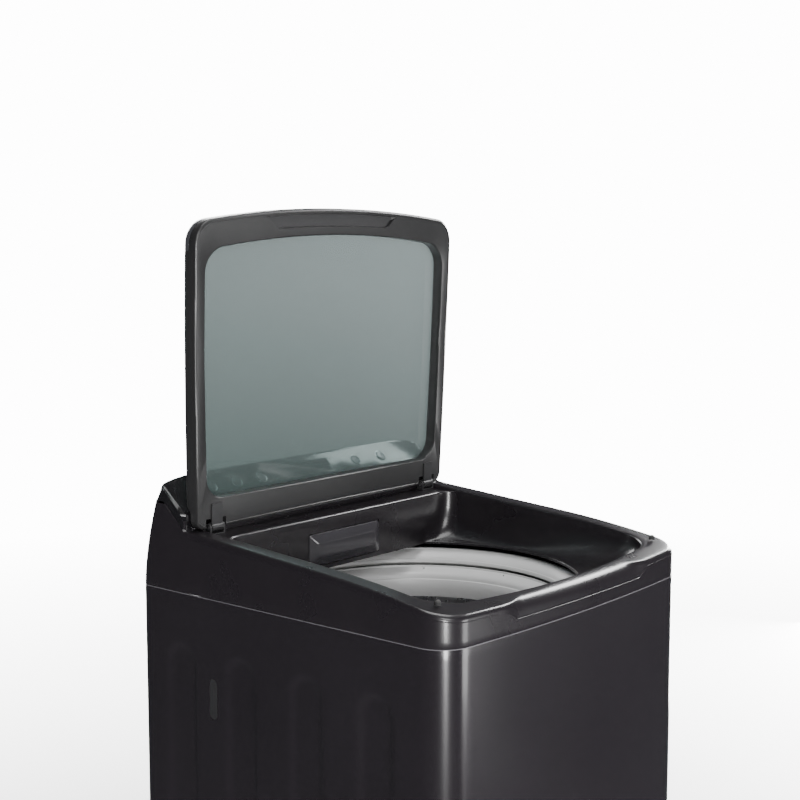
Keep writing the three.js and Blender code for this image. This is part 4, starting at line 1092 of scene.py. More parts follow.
def makeConsole():
    foot, ridge = cover["consoleFoot"], cover["ridgeTop"]
    low = rimAt(foot) + 0.6
    ridgeY = foot + (ridge - low) / slopeTan
    faceTop = console["top"] - 3
    faceTopY = foot + (faceTop - capFoot) / slopeTan
    backTop = console["top"] - 4
    bends = [
        (foot + 0.3, low, 0.6),
        (ridgeY, ridge + 0.45, 1),
        (backAt(ridge), ridge + 0.45, 0.8),
        (backAt(ridge + 14), ridge + 14, 12),
        (backAt(backTop), backTop, 3),
        ((faceTopY + backAt(backTop)) / 2, console["top"], 3),
        (faceTopY, faceTop, 4),
        (foot, capFoot, console["faceRound"]),
    ]
    section = roundedSection(bends, 5)
    chamfer, bend = console["chamfer"], cabinet["rearRadius"]
    ends = [halfWidth - chamfer * s for s in (0, 0.04, 0.12, 0.5, 0.88, 0.97, 1.06, 1.5)]
    ends += [halfWidth - 18, halfWidth - 30, halfWidth - 50, console["flatHalf"], 150, 80]
    xs = sorted([-x for x in ends] + [0] + ends)
    inner = ((foot + backAt(ridge)) / 2 + 4, ridge - 6)
    rows = []
    for x in xs:
        past = max(0, abs(x) - console["flatHalf"]) / (halfWidth - console["flatHalf"])
        top = console["top"] - console["endDrop"] * past * past
        pull = clamp(abs(x) - (halfWidth - chamfer), 0, chamfer) * 0.8
        corner = max(0, abs(x) - (halfWidth - bend))
        rounding = bend - math.sqrt(max(0, bend**2 - corner**2))
        row = []
        for y, z in section:
            high = z > ridge + 1 or y < ridgeY - 6
            if z > capFoot:
                z = capFoot + (z - capFoot) * (top - capFoot) / (console["top"] - capFoot)
            back = clamp((y - foot) / (rearY - foot))
            y -= rounding * back
            if high and z > low - 1:
                away = Vector((y - inner[0], z - inner[1])).normalized()
                behind = y > ridgeY
                share = smooth(ridge, ridge + 18, z) if behind else smooth(low - 4, low + 12, z)
                y -= away.x * pull * share
                z -= away.y * pull * share
            row.append((x, y, z + coverBase))
        rows.append(row)
    shape = Shape().grid(rows, wrapCols=True).cap(rows[0][::-1]).cap(rows[-1])
    piece = makePiece("consoleCap", shape, finishes["consoleGloss"], edgeAngle=24)
    halfX, halfY = (half + console["windowGap"] for half in console["displayHalf"])
    deep = console["windowSink"] + console["windowGap"]
    tools = [Shape().block((-halfX, -halfY, -deep), (halfX, halfY, 12))]
    for x in console["buttons"].values():
        radius = console["buttonRadius"] + console["buttonGap"]
        low, high = (circle(radius, 40, x, 0.0, z) for z in (-console["pocket"], 12))
        tools.append(Shape().grid([low, high], wrapCols=True).cap(low[::-1]).cap(high))
    for tool in tools:
        tool.points = [tuple(facePlace @ (Vector(p) * mm) / mm) for p in tool.points]
        cutAway(piece, tool, 24)
    attach(piece, "cabinet", "console_cap")


# Smoked window, with dim dashes lit behind it
def makeDisplay():
    halfX, halfY = console["displayHalf"]
    sink, edge, radius = console["windowSink"], console["windowRound"], console["windowCorner"]
    corners = ((-halfX, -halfY), (halfX, -halfY), (halfX, halfY), (-halfX, halfY))
    outline = roundedSection([(*corner, radius) for corner in corners], 6)
    rings = [
        [(x * (1 - inset / halfX), y * (1 - inset / halfY), z) for x, y in outline]
        for z, inset in ((-sink, 0), (-0.1, 0), (0.2, edge))
    ]
    window = Shape().grid(rings, wrapCols=True).cap(rings[0][::-1]).cap(rings[-1])
    glass = makePiece("displayWindow", window, finishes["displayGlass"], facePlace)
    attach(glass, "cabinet", "display_window")
    marks = Shape()
    half = console["dashThick"] / 2
    rows = ((console["dashRow"], 0), (console["sideDashes"], 4.6), (console["sideDashes"], -4.6))
    for (start, pitch, length), y in rows:
        for x in (start + i * pitch for i in range(4)):
            marks.block((x, y - half, 0.22), (x + length, y + half, 0.32))
    shown = makePiece("displayMarks", marks, finishes["displayMark"], facePlace)
    attach(shown, "cabinet")


def makeButtons():
    for name, x in console["buttons"].items():
        radius = console["buttonRadius"] - 0.2
        label = name.replace("_", "")
        profile = [(0, -6.2), (radius, -6.2), (radius, 0.8), (radius - 0.25, 1.3)]
        profile += [(radius - 0.9, 1.7), (radius - 1.8, 1.8), (radius - 2.6, 1.55)]
        profile += [(radius * 0.4, 1.2), (0, 1.1)]
        cap = Shape().turned(profile, 48, x)
        button = makePiece(label + "Cap", cap, finishes["buttonMetal"], facePlace)
        attach(button, name, name)
        section = ((0.6, 0.05), (0.75, 0.45), (1.3, 0.5), (1.6, 0.05))
        rim = [(radius + more, z) for more, z in section]
        ring = Shape().turned(rim, 48, x, closed=True)
        collar = makePiece(label + "Ring", ring, finishes["chromeTrim"], facePlace)
        attach(collar, "cabinet")


makeConsole()
makeDisplay()
makeButtons()
print("console made")


# Lid: frame, glass, metal band and bright trim. Its own frame has the hinge axis as origin,
# its front towards -Y and its outer face towards +Z

lid = {
    "openAngle": 88,
    "length": 443,
    "rearHalf": 267,
    "arch": 19,
    "bulge": 9,
    "frontRadius": 30,
    "rearRadius": 12,
    "under": -2,
    "outer": 20,
    "borderSide": 19,
    "borderFront": 39,
    "borderRear": 40,
    "windowRadius": 32,
    "seatInset": 2.5,
    "seatDepth": 4.4,
    "hingeStrip": (-27, 12),
    "trimWidth": 8,
    "trimHeight": 9,
    "trimWrap": 34,
    "gripHalf": 137,
    "gripReach": 19,
    "gripDepth": 5,
    "glassThickness": 3.9,
}
lidFront = lid["length"] - lid["arch"]
lidPlace = Matrix.Translation(Vector((0, hingeY, hingeZ)) * mm) @ Matrix.Rotation(
    -math.radians(lid["openAngle"]), 4, "X"
)
lidSteps = {"arcSteps": 12, "edgeSteps": 36, "sideSteps": 40}


def lidShaped(loop, half, front):
    made = []
    for x, y in (bowed(p, half, front, lid["arch"]) for p in loop):
        share = clamp(-y / lid["length"])
        made.append((x * (1 + lid["bulge"] / half * math.sin(share * math.pi / 1.6)), y))
    return made


def lidLoop(inset, rear=1):
    half = lid["rearHalf"] - inset
    front = inset - lidFront
    corner, back = max(5, lid["frontRadius"] - inset), max(3, lid["rearRadius"] - inset)
    return lidShaped(roundedLoop(half, front, rear - inset, corner, back, **lidSteps), half, front)


def lidWindowLoop(grow):
    half = lid["rearHalf"] - lid["borderSide"] + grow
    front = lid["borderFront"] - lidFront - grow
    corner = lid["windowRadius"] + grow
    loop = roundedLoop(half, front, grow - lid["borderRear"], corner, corner, **lidSteps)
    return lidShaped(loop, half, front)


def makeLidFrame():
    under, outer = lid["under"], lid["outer"]
    seat = outer - lid["seatDepth"]
    trimLow = outer - lid["trimHeight"] - 0.4
    trimBack = -lidFront + lid["trimWrap"] + 0.3
    stripStart, stripTop = lid["hingeStrip"]
    gripBack, depth = 60 - lidFront, lid["gripDepth"]
    columns = []
    for (xo, yo), (xi, yi) in zip(lidLoop(0), lidWindowLoop(0)):
        width = math.hypot(xi - xo, yi - yo)
        trimmed = yo < trimBack

        def at(inset, z, fromInside=False):
            share = (width - inset if fromInside else inset) / width
            return (between(xo, xi, share), between(yo, yi, share), z)

        cut = lid["trimWidth"] + 0.4
        rows = [at(2.6, under), at(1.3, under + 0.35), at(0.35, under + 1.3)]
        rows += [at(0, under + 2.6), at(0, 4)]
        if trimmed:
            rows += [at(0, trimLow - 0.4), at(0.4, trimLow), at(cut, trimLow)]
            rows += [at(cut + more, seat) for more in (0, 0.1, 0.2)]
        else:
            rows += [at(0, 12), at(0, outer - 1.4), at(0.4, outer - 0.4)]
            rows += [at(1.3, outer), at(2.3, outer), at(lid["seatInset"], seat)]
        rows += [at(0, seat, True), at(0, 6, True), at(0, under + 3.0, True)]
        rows += [at(0.4, under + 1.5, True), at(1.4, under + 0.4, True), at(3.0, under, True)]
        front = yo < gripBack and abs(xo) < lid["gripHalf"]
        ends = max(0, abs(xo) - (lid["gripHalf"] - lid["gripReach"])) / lid["gripReach"]
        reach = lid["gripReach"] * math.sqrt(max(0, 1 - ends * ends)) if front else 0
        reach = max(reach, 0.2)
        deep = depth if front and reach > 1 else 0
        rows += [at(7.2 + reach, under), at(7.0 + reach - min(0.8, reach / 4), under + deep)]
        rows += [at(7.0 + min(0.8, reach / 4), under + deep), at(6.8, under)]
        rows += [at(5.4, under), at(4.9, under - 0.55), at(4.0, under - 0.7), at(3.2, under - 0.45)]
        if yo > stripStart - 1:
            rows = [(x, y, min(z, stripTop if y > stripStart + 0.2 else z)) for x, y, z in rows]
        columns.append(rows)
    rows = list(zip(*columns))
    shape = Shape().grid(rows[:-6], wrapCols=True)
    shape.grid(rows[-7:] + [rows[0]], wrapCols=True)

    def inGrip(face):
        corners = [shape.points[i] for i in face]
        x, y = (sum(corner[k] for corner in corners) / 4 for k in range(2))
        flat = all(abs(corner[2] - (under + depth)) < 0.05 for corner in corners)
        return flat and abs(x) < lid["gripHalf"] and y < gripBack

    shape.marks = [int(inGrip(face)) for face in shape.faces]
    looks = [finishes["lidPlastic"], finishes["gripPlastic"]]
    piece = makePiece("lidFrame", shape, looks, edgeAngle=34)
    hingeX = highOf("hinge_arm_left").x + lowOf("hinge_arm_left").x
    for side in (-1, 1):
        x = side * abs(hingeX) / 2
        cutAway(piece, Shape().block((x - 19, -12.6, under - 2), (x + 19, 8, outer + 4)), 34)
    piece.data.transform(lidPlace)
    attach(piece, "lid", "lid_frame")


# Half width of the lid at a distance y from the hinge, less an inset
def lidHalfAt(y, inset):
    half = lid["rearHalf"] - inset
    return half * (1 + lid["bulge"] / half * math.sin(clamp(-y / lid["length"]) * math.pi / 1.6))


bandStart = lidFront - lid["borderFront"] + 6


def bandLine(x, back=0.0):
    return -bandStart + back - lid["arch"] * (1 - (x / lid["rearHalf"]) ** 2)


def makeLidGlass():
    inset, rear = 2.9, lid["hingeStrip"][0] - 0.3
    corner = 9.2
    top = []
    ys = [0, 0.4, 1.5, 3.5, 6, 9.2]
    for level, drop in enumerate(ys + spread(0, 1, 40)[1:]):
        row = []
        for share in spread(-1, 1, 60):
            if level < len(ys):
                y = rear - drop
                pull = corner - math.sqrt(max(0, corner**2 - (corner - drop) ** 2))
                x = (lidHalfAt(y, inset) - pull) * share
            else:
                x0 = lidHalfAt(-bandStart, inset) * share
                y = between(rear - corner, bandLine(x0, 0.4), drop)
                x = lidHalfAt(y, inset) * share
            row.append((x, y, lid["outer"]))
        top.append(row)
    piece = makePiece("lidGlass", Shape().grid(top), finishes["lidGlass"], outward=False)
    faceTowards(piece, (0, 0, 1))
    thicken(piece, lid["glassThickness"], 30)
    piece.data.transform(lidPlace)
    attach(piece, "lid", "lid_glass")


def makeLidBand():
    inset = lid["trimWidth"] + 0.5
    outerLine = [p for p in lidLoop(inset) if p[1] < bandLine(p[0], -0.4)]
    outerLine.sort(key=lambda p: math.atan2(p[0], -(p[1] + bandStart - 60)))
    rows = []
    for share in (0, 0.03, 0.25, 0.5, 0.75, 0.97, 1):
        row = []
        for x, y in outerLine:
            xb = clamp(x, -lidHalfAt(-bandStart, 3), lidHalfAt(-bandStart, 3))
            row.append((between(xb, x, share), between(bandLine(xb), y, share), lid["outer"]))
        rows.append(row)
    piece = makePiece("lidFrontBand", Shape().grid(rows), finishes["brushedBand"], outward=False)
    faceTowards(piece, (0, 0, 1), len(piece.data.polygons) // 2)
    thicken(piece, lid["glassThickness"], 30)
    piece.data.transform(lidPlace)
    attach(piece, "lid", "lid_front_band")


def makeLidTrim():
    width, top = lid["trimWidth"], lid["outer"] + 0.2
    low = lid["outer"] - lid["trimHeight"]
    back = lid["trimWrap"] + 10 - lidFront
    inner, outer = lidLoop(width), lidLoop(0)
    pairs = [(o, i) for o, i in zip(outer, inner) if o[1] < back]
    pairs.sort(key=lambda pair: math.atan2(pair[0][0], -(pair[0][1] + bandStart - 90)))
    section = [(0.1, low), (0, low + 0.3), (0, top - 1.6), (0.5, top - 0.5), (1.6, top)]
    section += [(width - 0.8, top), (width, top - 0.5), (width, low)]
    rows = [
        [(between(xo, xi, s / width), between(yo, yi, s / width), z) for s, z in section]
        for (xo, yo), (xi, yi) in pairs
    ]
    shape = Shape().grid(rows, wrapCols=True).cap(rows[0]).cap(rows[-1][::-1])
    piece = makePiece("lidTrim", shape, finishes["chromeTrim"], lidPlace, edgeAngle=40)
    attach(piece, "lid", "lid_trim")


makeLidFrame()
makeLidGlass()
makeLidBand()
makeLidTrim()
print("lid made")


# Detergent drawer

drawer = {
    "half": 78,
    "low": 6.5,
    "high": 55,
    "face": 138,
    "bevel": (13, 6.8),
    "cornerRadius": 6,
    "depth": 96,
    "wall": 2.2,
    "middleWall": -8,
    "edgeRound": 0.6,
}


def makeDrawer():
    half, low, high = drawer["half"], coverBase + drawer["low"], coverBase + drawer["high"]
    face, end, wall = drawer["face"], deckFront + drawer["depth"], drawer["wall"]
    wide, deep = drawer["bevel"]
    rings = [(deckFront + 4, 0), (face + deep, 0), (face + deep - 1.2, 0.5)]
    rings += [(face + deep * 0.48, wide * 0.4), (face + 1.2, wide * 0.8)]
    rings += [(face + 0.35, wide * 0.98), (face, wide * 1.15)]
    rows = []
    for y, inset in rings:
        radius = max(1.5, drawer["cornerRadius"] - inset * 0.2)
        side, under, over = half - inset, low + inset, high - inset
        box = [(side, under), (side, over), (-side, over), (-side, under)]
        rows.append([(x, y, z) for x, z in roundedSection([(*p, radius) for p in box], 6)])
    shape = Shape().grid(rows, wrapCols=True).cap(rows[0]).cap(rows[-1][::-1])
    piece = makePiece("drawerFront", shape, finishes["drawerPlastic"], edgeAngle=30)
    attach(piece, "drawer", "detergent_drawer")

    tray = Shape().block((-half + 0.3, deckFront + 4, low), (half - 0.3, end, high - 6))
    body = makePiece("drawerTray", tray, finishes["palePlastic"])
    middle = drawer["middleWall"]
    for x0, x1 in ((-half + wall, middle), (middle + wall, half - wall)):
        near, far = (x0, deckFront + 5 + wall, low + wall), (x1, end - wall, high + 4)
        cutAway(body, Shape().block(near, far))
    rounding = body.modifiers.new("bevel", "BEVEL")
    rounding.width = drawer["edgeRound"] * mm
    rounding.segments = 2
    applyModifiers(body)
    softenEdges(body, 40)
    attach(body, "drawer")


makeDrawer()
print("drawer made")


# Rings round the tub, the basket and the pulsator

wash = {
    "tubRadius": 258,
    "tubTop": 786,
    "ringInner": 221,
    "ringCrest": 243,
    "ringTop": 807,
    "balanceTop": 783,
    "balanceHeight": 46,
    "balanceInner": 200,
    "basketRadius": 232,
    "basketBottom": 286.3,
    "holeColumns": 60,
    "holeRows": 15,
    "holeRadius": 2.2,
    "wave": 1.6,
    "sheet": 0.9,
    "ribs": 10,
    "segments": 144,
}


def makeRings():
    crest, inner, top = wash["ringCrest"], wash["ringInner"], wash["ringTop"]
    tubTop, balance = wash["tubTop"], wash["balanceTop"]
    lip = balance + 4
    wide = wash["tubRadius"]
    profile = [(inner, lip + 0.8), (inner + 0.5, lip), (inner + 2, lip - 0.2), (crest, tubTop + 0.3)]
    profile += [(wide + 0.3, tubTop + 0.3), (wide + 0.3, tubTop - 12)]
    profile += [(wide + 2.7, tubTop - 12), (wide + 2.7, top - 10), (wide - 1, top - 6)]
    profile += [(crest + 8, top - 2.2), (crest + 4, top - 0.6), (crest, top), (crest - 3, top - 0.5)]
    profile += [(crest - 4, top - 2.4), (crest - 5, top - 2.9), (crest - 9, top - 4.6)]
    profile += [(crest - 14, top - 8.2), (inner + 4, top - 12.5), (inner + 3, top - 14.2)]
    profile += [(inner + 1.4, lip + 5.5), (inner + 0.2, lip + 3.6)]
    shape = Shape().turned(profile, wash["segments"], 0, tubY, closed=True)
    ring = makePiece("tubRing", shape, finishes["ringPlastic"], edgeAngle=30)
    attach(ring, "tub", "tub_ring")

    low = balance - wash["balanceHeight"]
    outer, bore = wash["basketRadius"] + 1.5, wash["balanceInner"]
    rim = [(0, 8), (1.6, 4.6), (5, 1.8), (9, 0.5), (12, 0), (13.2, 0.4), (13.8, 2.6), (15, 3.2)]
    slope = [(14, 6.2), (9, 8.8), (5.6, 12), (4.4, 15), (3.6, 18), (2.2, 18.8), (0.9, 22)]
    slope += [(0, 27), (0, 34), (0.6, 40)]
    profile = [(bore + 2, low), (outer, low)]
    profile += [(outer - inset, balance - drop) for inset, drop in rim]
    profile += [(bore + more, balance - drop) for more, drop in slope]
    shape = Shape().turned(profile, wash["segments"], 0, tubY, closed=True)
    ribs = wash["ribs"]
    for i in range(ribs):  # the welded ribs between the ring's two shells
        a = 2 * math.pi * i / ribs
        ca, sa = math.cos(a), math.sin(a)
        rib = Shape().block((bore + 15, -1.2, balance - 6.5), (outer - 15.5, 1.2, balance - 2.6))
        start = len(shape.points)
        shape.points += [(x * ca - y * sa, tubY + x * sa + y * ca, z) for x, y, z in rib.points]
        shape.faces += [tuple(start + j for j in face) for face in rib.faces]
        shape.marks += rib.marks
    ring = makePiece("balanceRing", shape, finishes["ringPlastic"], edgeAngle=30)
    attach(ring, "basket", "balance_ring")


# Perforated wall: every cell is a square with an eight sided hole, bent round the basket
def makeBasket():
    radius, bottom = wash["basketRadius"], wash["basketBottom"]
    top = wash["balanceTop"] - wash["balanceHeight"] - 0.3
    start = bottom + 30
    columns, rows = wash["holeColumns"], wash["holeRows"]
    wide, tall = 2 * math.pi / columns, (top - 14 - start) / rows
    hole, wave, skin = wash["holeRadius"], wash["wave"], radius - 0.5
    edge = [(-0.5, -0.5), (0, -0.5), (0.5, -0.5), (0.5, 0)]
    edge += [(-u, -v) for u, v in edge]
    shape = Shape()

    def at(angle, z):
        fade = smooth(0, 40, z - start), smooth(0, 40, top - z)
        r = min(skin + wave * math.cos(angle * columns / 3) * fade[0] * fade[1], radius - 0.2)
        return (r * math.cos(angle), tubY + r * math.sin(angle), z)

    for j in range(rows):
        for i in range(columns):
            a0, z0 = (i + 0.5) * wide, start + (j + 0.5) * tall
            outer = [at(a0 + u * wide, z0 + v * tall) for u, v in edge]
            turns = [-3 * math.pi / 4 + k * math.pi / 4 for k in range(8)]
            ring = [at(a0 + hole * math.cos(a) / radius, z0 + hole * math.sin(a)) for a in turns]
            first = len(shape.points)
            shape.points += outer + ring
            for k in range(8):
                n = (k + 1) % 8
                shape.faces.append((first + k, first + n, first + 8 + n, first + 8 + k))
                shape.marks.append(0)
            if (i + j) % 2:  # every other cell stays closed
                shape.faces.append(tuple(first + 8 + k for k in range(8)))
                shape.marks.append(0)
    segments = columns * 2
    collar = [(skin, top - 14), (skin, top - 7), (skin, top)]
    floor = [(skin, start), (skin, start - 6), (skin, bottom + 16)]
    floor += [(radius - 2.5, bottom + 8.5), (radius - 7.5, bottom + 3), (radius - 16, bottom + 0.5)]
    floor += [(r, bottom + 0.5) for r in (radius - 40, radius - 70, 120, 60, 26.6)]
    shape.turned(collar, segments, 0, tubY).turned(floor, segments, 0, tubY)
    piece = makePiece("basketDrum", shape, finishes["basketSteel"], edgeAngle=35)
    thicken(piece, wash["sheet"], 35, offset=0)
    attach(piece, "basket", "basket")


# Dished disc with six swirling paddles

pulsator = {
    "bore": 9.6,
    "segments": 144,
    "paddles": 6,
    "paddleRise": 15,
    "swirl": 0.9,
    "dish": 12,
    "rimWidth": 12,
}


def makePulsator():
    low, high = lowOf("pulsator"), highOf("pulsator")
    radius, base = (high.x - low.x) / 2, low.z
    bore, segments, dish = pulsator["bore"], pulsator["segments"], pulsator["dish"]
    radii = spread(bore, 30, 5) + spread(36, radius - pulsator["rimWidth"], 20)
    radii += [radius - 8, radius - 5, radius - 2.5, radius - 0.8, radius]
    rows = []
    for r in radii:
        share = r / radius
        row = []
        for i in range(segments):
            a = 2 * math.pi * i / segments
            z = base + 11 + dish * (1 - smooth(0.12, 0.62, share))
            z += dish * (1 - smooth(0.05, 0.22, share))
            swirl = math.cos(pulsator["paddles"] / 2 * (a - pulsator["swirl"] * share))
            paddle = smooth(0.55, 1.0, abs(swirl))
            fade = smooth(0.18, 0.4, share)
            z += pulsator["paddleRise"] * paddle * fade * (1 - smooth(0.72, 0.92, share))
            z -= 5 * smooth(0.9, 1.0, share)
            row.append((r * math.cos(a), tubY + r * math.sin(a), z))
        rows.append(row)
    for r, z in ((radius - 1, base + 3.5), (radius - 6, base), (60, base), (bore, base)):
        rows.append(circle(r, segments, 0, tubY, z))
    shape = Shape().grid(rows, wrapRows=True, wrapCols=True)
    piece = makePiece("pulsatorDisc", shape, finishes["palePlastic"], edgeAngle=40)
    attach(piece, "pulsator", "pulsator")
    dome = [(0, 1.2), (8, 1.0), (16, -0.4), (19, -3), (19.5, -6), (0, -6)]
    cap = Shape().turned([(r, high.z + z) for r, z in dome], 40, 0, tubY)
    bolt = makePiece("pulsatorBolt", cap, finishes["ringPlastic"])
    attach(bolt, "pulsator")


makeRings()
makeBasket()
makePulsator()
print("tub parts made")


# Suspension springs: coils between the rod plates and the tub, built fixed at the length the frame
# gives them

spring = {"wire": 2.1, "outerRadius": 13.3, "turns": 6.2, "around": 9, "along": 22}


def makeSprings():
    for corner in corners:
        node = "suspension_spring_" + corner
        rod = "suspension_rod_" + corner
        low, high = lowOf(node), highOf(node)
        middle = (lowOf(rod) + highOf(rod)) / 2
        wire = spring["wire"]
        radius = spring["outerRadius"] - wire
        count = round(spring["turns"] * spring["along"])
        rows = []
        for i in range(count + 1):
            share = i / count
            angle = 2 * math.pi * spring["turns"] * share
            lift = smooth(0.06, 0.94, share) * 0.35 + 0.65 * clamp((share - 0.1) / 0.8)
            z = between(low.z + wire, high.z - wire, lift)
            row = []
            for j in range(spring["around"]):
                turn = 2 * math.pi * j / spring["around"]
                r = radius + wire * math.cos(turn)
                x, y = middle.x + r * math.cos(angle), middle.y + r * math.sin(angle)
                row.append((x, y, z + wire * math.sin(turn)))
            rows.append(row)
        shape = Shape().grid(rows, wrapCols=True).cap(rows[0]).cap(rows[-1][::-1])
        piece = makePiece("springCoil_" + corner, shape, finishes["brightSteel"], edgeAngle=70)
        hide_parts(node)
        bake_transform(piece)


# Rear service panel: pressed frame, two ribs, slots for air and screws at its edge

panel = {
    "half": 224,
    "low": 130,
    "high": 710,
    "border": 24,
    "sideSteps": (0, 1, 10, 19, 24, 28),  # columns of points near each side
    "endSteps": (0, 1, 11, 20, 24, 28),  # rows of points near each end
    "press": 0.55,
    "ribs": (290, 420, 550),
    "ribHalf": (165, 26),
    "vents": (596, 650, 11.4),  # bottom, top and pitch of the air slots
    "ventHalf": (60, 46),  # middle and half length of each slot
    "sheet": 0.8,
    "screwInset": (6, 20),
}


def makeRearPanel():
    half, bottom, top, border = panel["half"], panel["low"], panel["high"], panel["border"]
    sides, ends = panel["sideSteps"], panel["endSteps"]
    xs = [-half + step for step in sides] + spread(38 - half, half - 38, 30)
    xs += [half - step for step in reversed(sides)]
    zs = [bottom + step for step in ends] + spread(bottom + 40, top - 40, 44)
    zs += [top - step for step in reversed(ends)]
    ribHalf, ribTall = panel["ribHalf"]

    def heightAt(x, z):
        inside = min(half - border - abs(x), z - bottom - border, top - border - z)
        lift = 1.6 * smooth(0, 8, inside)
        for middle in panel["ribs"]:
            reach = min(ribTall - abs(z - middle), ribHalf - abs(x))
            lift -= 1.4 * smooth(0, 9, reach)
        return lift

    front = rearY - 0.5
    rows = [[(x, front - 0.9 + heightAt(x, z) * panel["press"], z) for x in xs] for z in zs]
    ventLow, ventHigh, pitch = panel["vents"]
    ventMiddle, ventHalf = panel["ventHalf"]

    def keep(middle):
        x, _, z = middle
        inSlot = ventLow < z < ventHigh and round((z - ventLow) / pitch) % 2 == 1
        return not (inSlot and abs(abs(x) - ventMiddle) < ventHalf)

    sheet = Shape().grid(rows, keep=keep)
    piece = makePiece("servicePanel", sheet, finishes["zincSheet"], outward=False)
    faceTowards(piece, (0, 1, 0))
    thicken(piece, panel["sheet"], 30)
    attach(piece, "cabinet", "rear_panel")
    head = [(0, 1.9), (1.6, 1.8), (3.0, 1.3), (3.6, 0.5), (3.7, 0), (0, 0)]
    screws = Shape()
    insetX, insetZ = panel["screwInset"]
    for x in (insetX - half, half - insetX):
        for z in spread(bottom + insetZ, top - insetZ, 4):
            start = len(screws.points)
            screws.turned(head, 16)
            for i, (px, py, pz) in enumerate(screws.points[start:], start):
                screws.points[i] = (x + px, front + 0.4 + pz * 0.6, z + py)
    heads = makePiece("panelScrews", screws, finishes["brightSteel"])
    attach(heads, "cabinet")


# Feet: a ribbed rubber pad under a threaded stud with a lock nut

foot = {"radius": 24, "stud": 5, "studStart": 22.6, "threadPitch": 2.0, "threadDepth": 0.55}


def makeFeet():
    pitch, stem = foot["threadPitch"], foot["stud"]
    for corner in corners:
        node = "foot_" + corner
        low, high = lowOf(node), highOf(node)
        x, y = (low.x + high.x) / 2, (low.y + high.y) / 2
        radius = min(foot["radius"], (high.y - low.y) / 2) - 0.1
        pad = [(0, 0.8), (radius * 0.5, 0.8), (radius * 0.52, 0.1), (radius - 2, 0.1)]
        pad += [(radius - 0.7, 0.5), (radius, 1.8), (radius, 5.5), (radius - 1.4, 8.2)]
        pad += [(radius - 6, 10.2), (14, 11.5), (12.5, 13.6), (0, 13.6)]
        sole = Shape().turned(pad, 48, x, y)
        rubber = makePiece("footPad_" + corner, sole, finishes["rubber"])
        attach(rubber, node, node)
        stud = [(0, 13.6), (stem, 13.6)]
        z = foot["studStart"]
        while z < high.z - 3:
            stud += [(stem - foot["threadDepth"], z), (stem, z + pitch / 2)]
            z += pitch
        stud += [(stem - 0.8, high.z - 0.4), (0, high.z - 0.4)]
        nut = [(0, 14.2), (8.3, 14.2), (9.2, 15), (9.2, 20.2), (8.3, 21), (0, 21)]
        steel = Shape().turned(stud, 28, x, y).turned(nut, 6, x, y)
        bolt = makePiece("footStud_" + corner, steel, finishes["brightSteel"], edgeAngle=30)
        attach(bolt, node)


def makeBumpers():
    for side in ("left", "right"):
        node = "lid_bumper_" + side
        low, high = lowOf(node), highOf(node)
        radius = (high.x - low.x) / 2
        x, y = (low.x + high.x) / 2, (low.y + high.y) / 2
        dome = [(0, high.z), (radius * 0.4, high.z - 0.3), (radius * 0.72, high.z - 1.2)]
        dome += [(radius * 0.94, high.z - 2.6), (radius, high.z - 3.8)]
        dome += [(radius, low.z + 0.3), (radius * 0.6, low.z), (0, low.z)]
        shape = Shape().turned(dome, 28, x, y)
        piece = makePiece("lidPad_" + side, shape, finishes["rubber"])
        attach(piece, "cabinet", node)


makeSprings()
makeRearPanel()
makeFeet()
makeBumpers()
print("springs, panel and feet made")


# The other nodes keep their shape and take a finish

plainNodes = {
    "basePlastic": ["base_frame", "drain_outlet"],
    "darkPlastic": ["drawer_housing", "drain_valve", "lid_lock"],
    "circuitBoard": ["control_board"],
    "tubPlastic": ["outer_tub"],
    "palePlastic": ["lint_filter", "inlet_valve_cold", "inlet_valve_hot", "pressure_switch"],
    "castAlloy": ["spin_tube", "gear_case", "large_pulley"],
    "brightSteel": ["drive_shaft", "motor_pulley"],
    "zincSheet": ["tub_frame"],
    "motorPaint": ["motor"],
    "rubber": ["drive_belt", "cord_gland"],
    "hingeDark": [],
}
for side in ("left", "right"):
    plainNodes["hingeDark"] += ["hinge_arm_" + side, "hinge_bracket_" + side]
    plainNodes["brightSteel"].append("hinge_pin_" + side)
plainNodes["brightSteel"] += ["suspension_rod_" + corner for corner in corners]
for finish, nodes in plainNodes.items():
    for node in nodes:
        for place in frame["nodes"][node].material_slots:
            place.material = finishes[finish]
print("finishes placed on", sum(len(nodes) for nodes in plainNodes.values()), "plain nodes")


# studio

studio = {
    "cameraPlace": (-1.666, -1.367, 1.328),
    "cameraForward": (0.7597, 0.6397, -0.1168),
    "lens": 68.36,
    "floorRadius": 9.0,
    "floorFade": (1.2, 4.5),
    "floorLight": 1.6,
    "whiteSeen": 14.0,
    "whiteThrough": 0.72,
    "glow": 0.085,
    "lamps": {  # place, target, size and power
        "top": ((0.1, -0.1, 3.1), (0, 0, 0.9), (1.4, 1.4), 42),
        "corner": ((-2.7, -3.3, 0.75), (-0.25, -0.25, 0.65), (0.7, 2.0), 230),
        "frontFill": ((1.7, -4.0, 0.6), (-0.1, -0.2, 0.55), (1.5, 2.4), 120),
        "rightStrip": ((3.0, 0.5, 0.9), (0.25, -0.2, 0.75), (0.6, 2.4), 200),
        "rightHigh": ((2.4, -0.4, 2.7), (0, -0.1, 0.9), (0.8, 0.8), 60),
        "upper": ((-1.3, -2.3, 2.7), (0, -0.1, 0.9), (1.1, 1.1), 36),
        "back": ((1.2, 2.8, 2.4), (0, 0.1, 0.9), (2.0, 0.8), 60),
    },
}


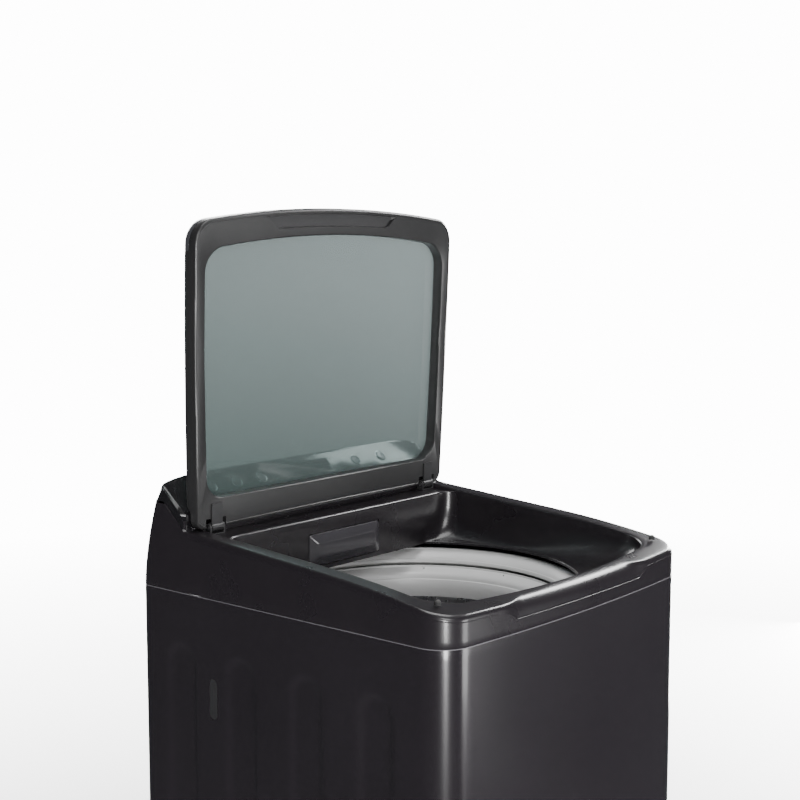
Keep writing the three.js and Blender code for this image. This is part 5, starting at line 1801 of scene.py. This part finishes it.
def makeStudio():
    camera = bpy.data.objects.new("camera", bpy.data.cameras.new("camera"))
    bpy.context.scene.collection.objects.link(camera)
    camera.location = studio["cameraPlace"]
    camera.rotation_euler = Vector(studio["cameraForward"]).to_track_quat("-Z", "Y").to_euler()
    camera.data.lens = studio["lens"]
    camera.data.sensor_width = 36
    camera.data.clip_end = 60
    bpy.context.scene.camera = camera

    for name, (place, target, size, power) in studio["lamps"].items():
        data = bpy.data.lights.new(name, "AREA")
        data.shape = "RECTANGLE"
        data.size, data.size_y = size
        data.energy = power
        lamp = bpy.data.objects.new(name, data)
        lamp.location = place
        lamp.rotation_euler = (Vector(target) - Vector(place)).to_track_quat("-Z", "Y").to_euler()
        bpy.context.scene.collection.objects.link(lamp)

    # white behind the object, softer through glass and a dim room in its reflections
    world = bpy.data.worlds.new("studio")
    world.use_nodes = True
    bpy.context.scene.world = world
    tree = world.node_tree
    dim = tree.nodes["Background"]
    dim.inputs["Color"].default_value = (0.9, 0.92, 1.0, 1.0)
    dim.inputs["Strength"].default_value = studio["glow"]
    rays = tree.nodes.new("ShaderNodeLightPath")
    shown = dim
    for ray, strength in (("Is Transmission Ray", "whiteThrough"), ("Is Camera Ray", "whiteSeen")):
        white = tree.nodes.new("ShaderNodeBackground")
        white.inputs["Color"].default_value = (1, 1, 1, 1)
        white.inputs["Strength"].default_value = studio[strength]
        choose = tree.nodes.new("ShaderNodeMixShader")
        tree.links.new(rays.outputs[ray], choose.inputs[0])
        tree.links.new(shown.outputs[0], choose.inputs[1])
        tree.links.new(white.outputs[0], choose.inputs[2])
        shown = choose
    tree.links.new(shown.outputs[0], tree.nodes["World Output"].inputs["Surface"])

    # pale floor that fades out before it ends
    material, tree, shader = newMaterial("studioFloor", {"Roughness": 0.7})
    place = objectPlace(tree)
    length = addNode(tree, "ShaderNodeVectorMath", operation="LENGTH")
    tree.links.new(place, length.inputs[0])
    near, far = studio["floorFade"]
    fade = mapped(tree, length.outputs["Value"], near, far, 1.0, 0.0)
    tree.links.new(fade, shader.inputs["Alpha"])
    tone = blendColours(tree, noiseOf(tree, place, 3.0, 3.0), (0.86, 0.86, 0.86), (0.9, 0.9, 0.9))
    tree.links.new(tone, shader.inputs["Base Color"])
    shader.inputs["Emission Color"].default_value = (1, 1, 1, 1)
    shader.inputs["Emission Strength"].default_value = studio["floorLight"]
    disc = Shape().cap(circle(studio["floorRadius"] / mm, 64))
    floor = makePiece("studioFloorDisc", disc, material, outward=False)
    floor.location.z = -0.0005  # just under the feet
    floor.visible_glossy = False


makeStudio()
print("studio ready")
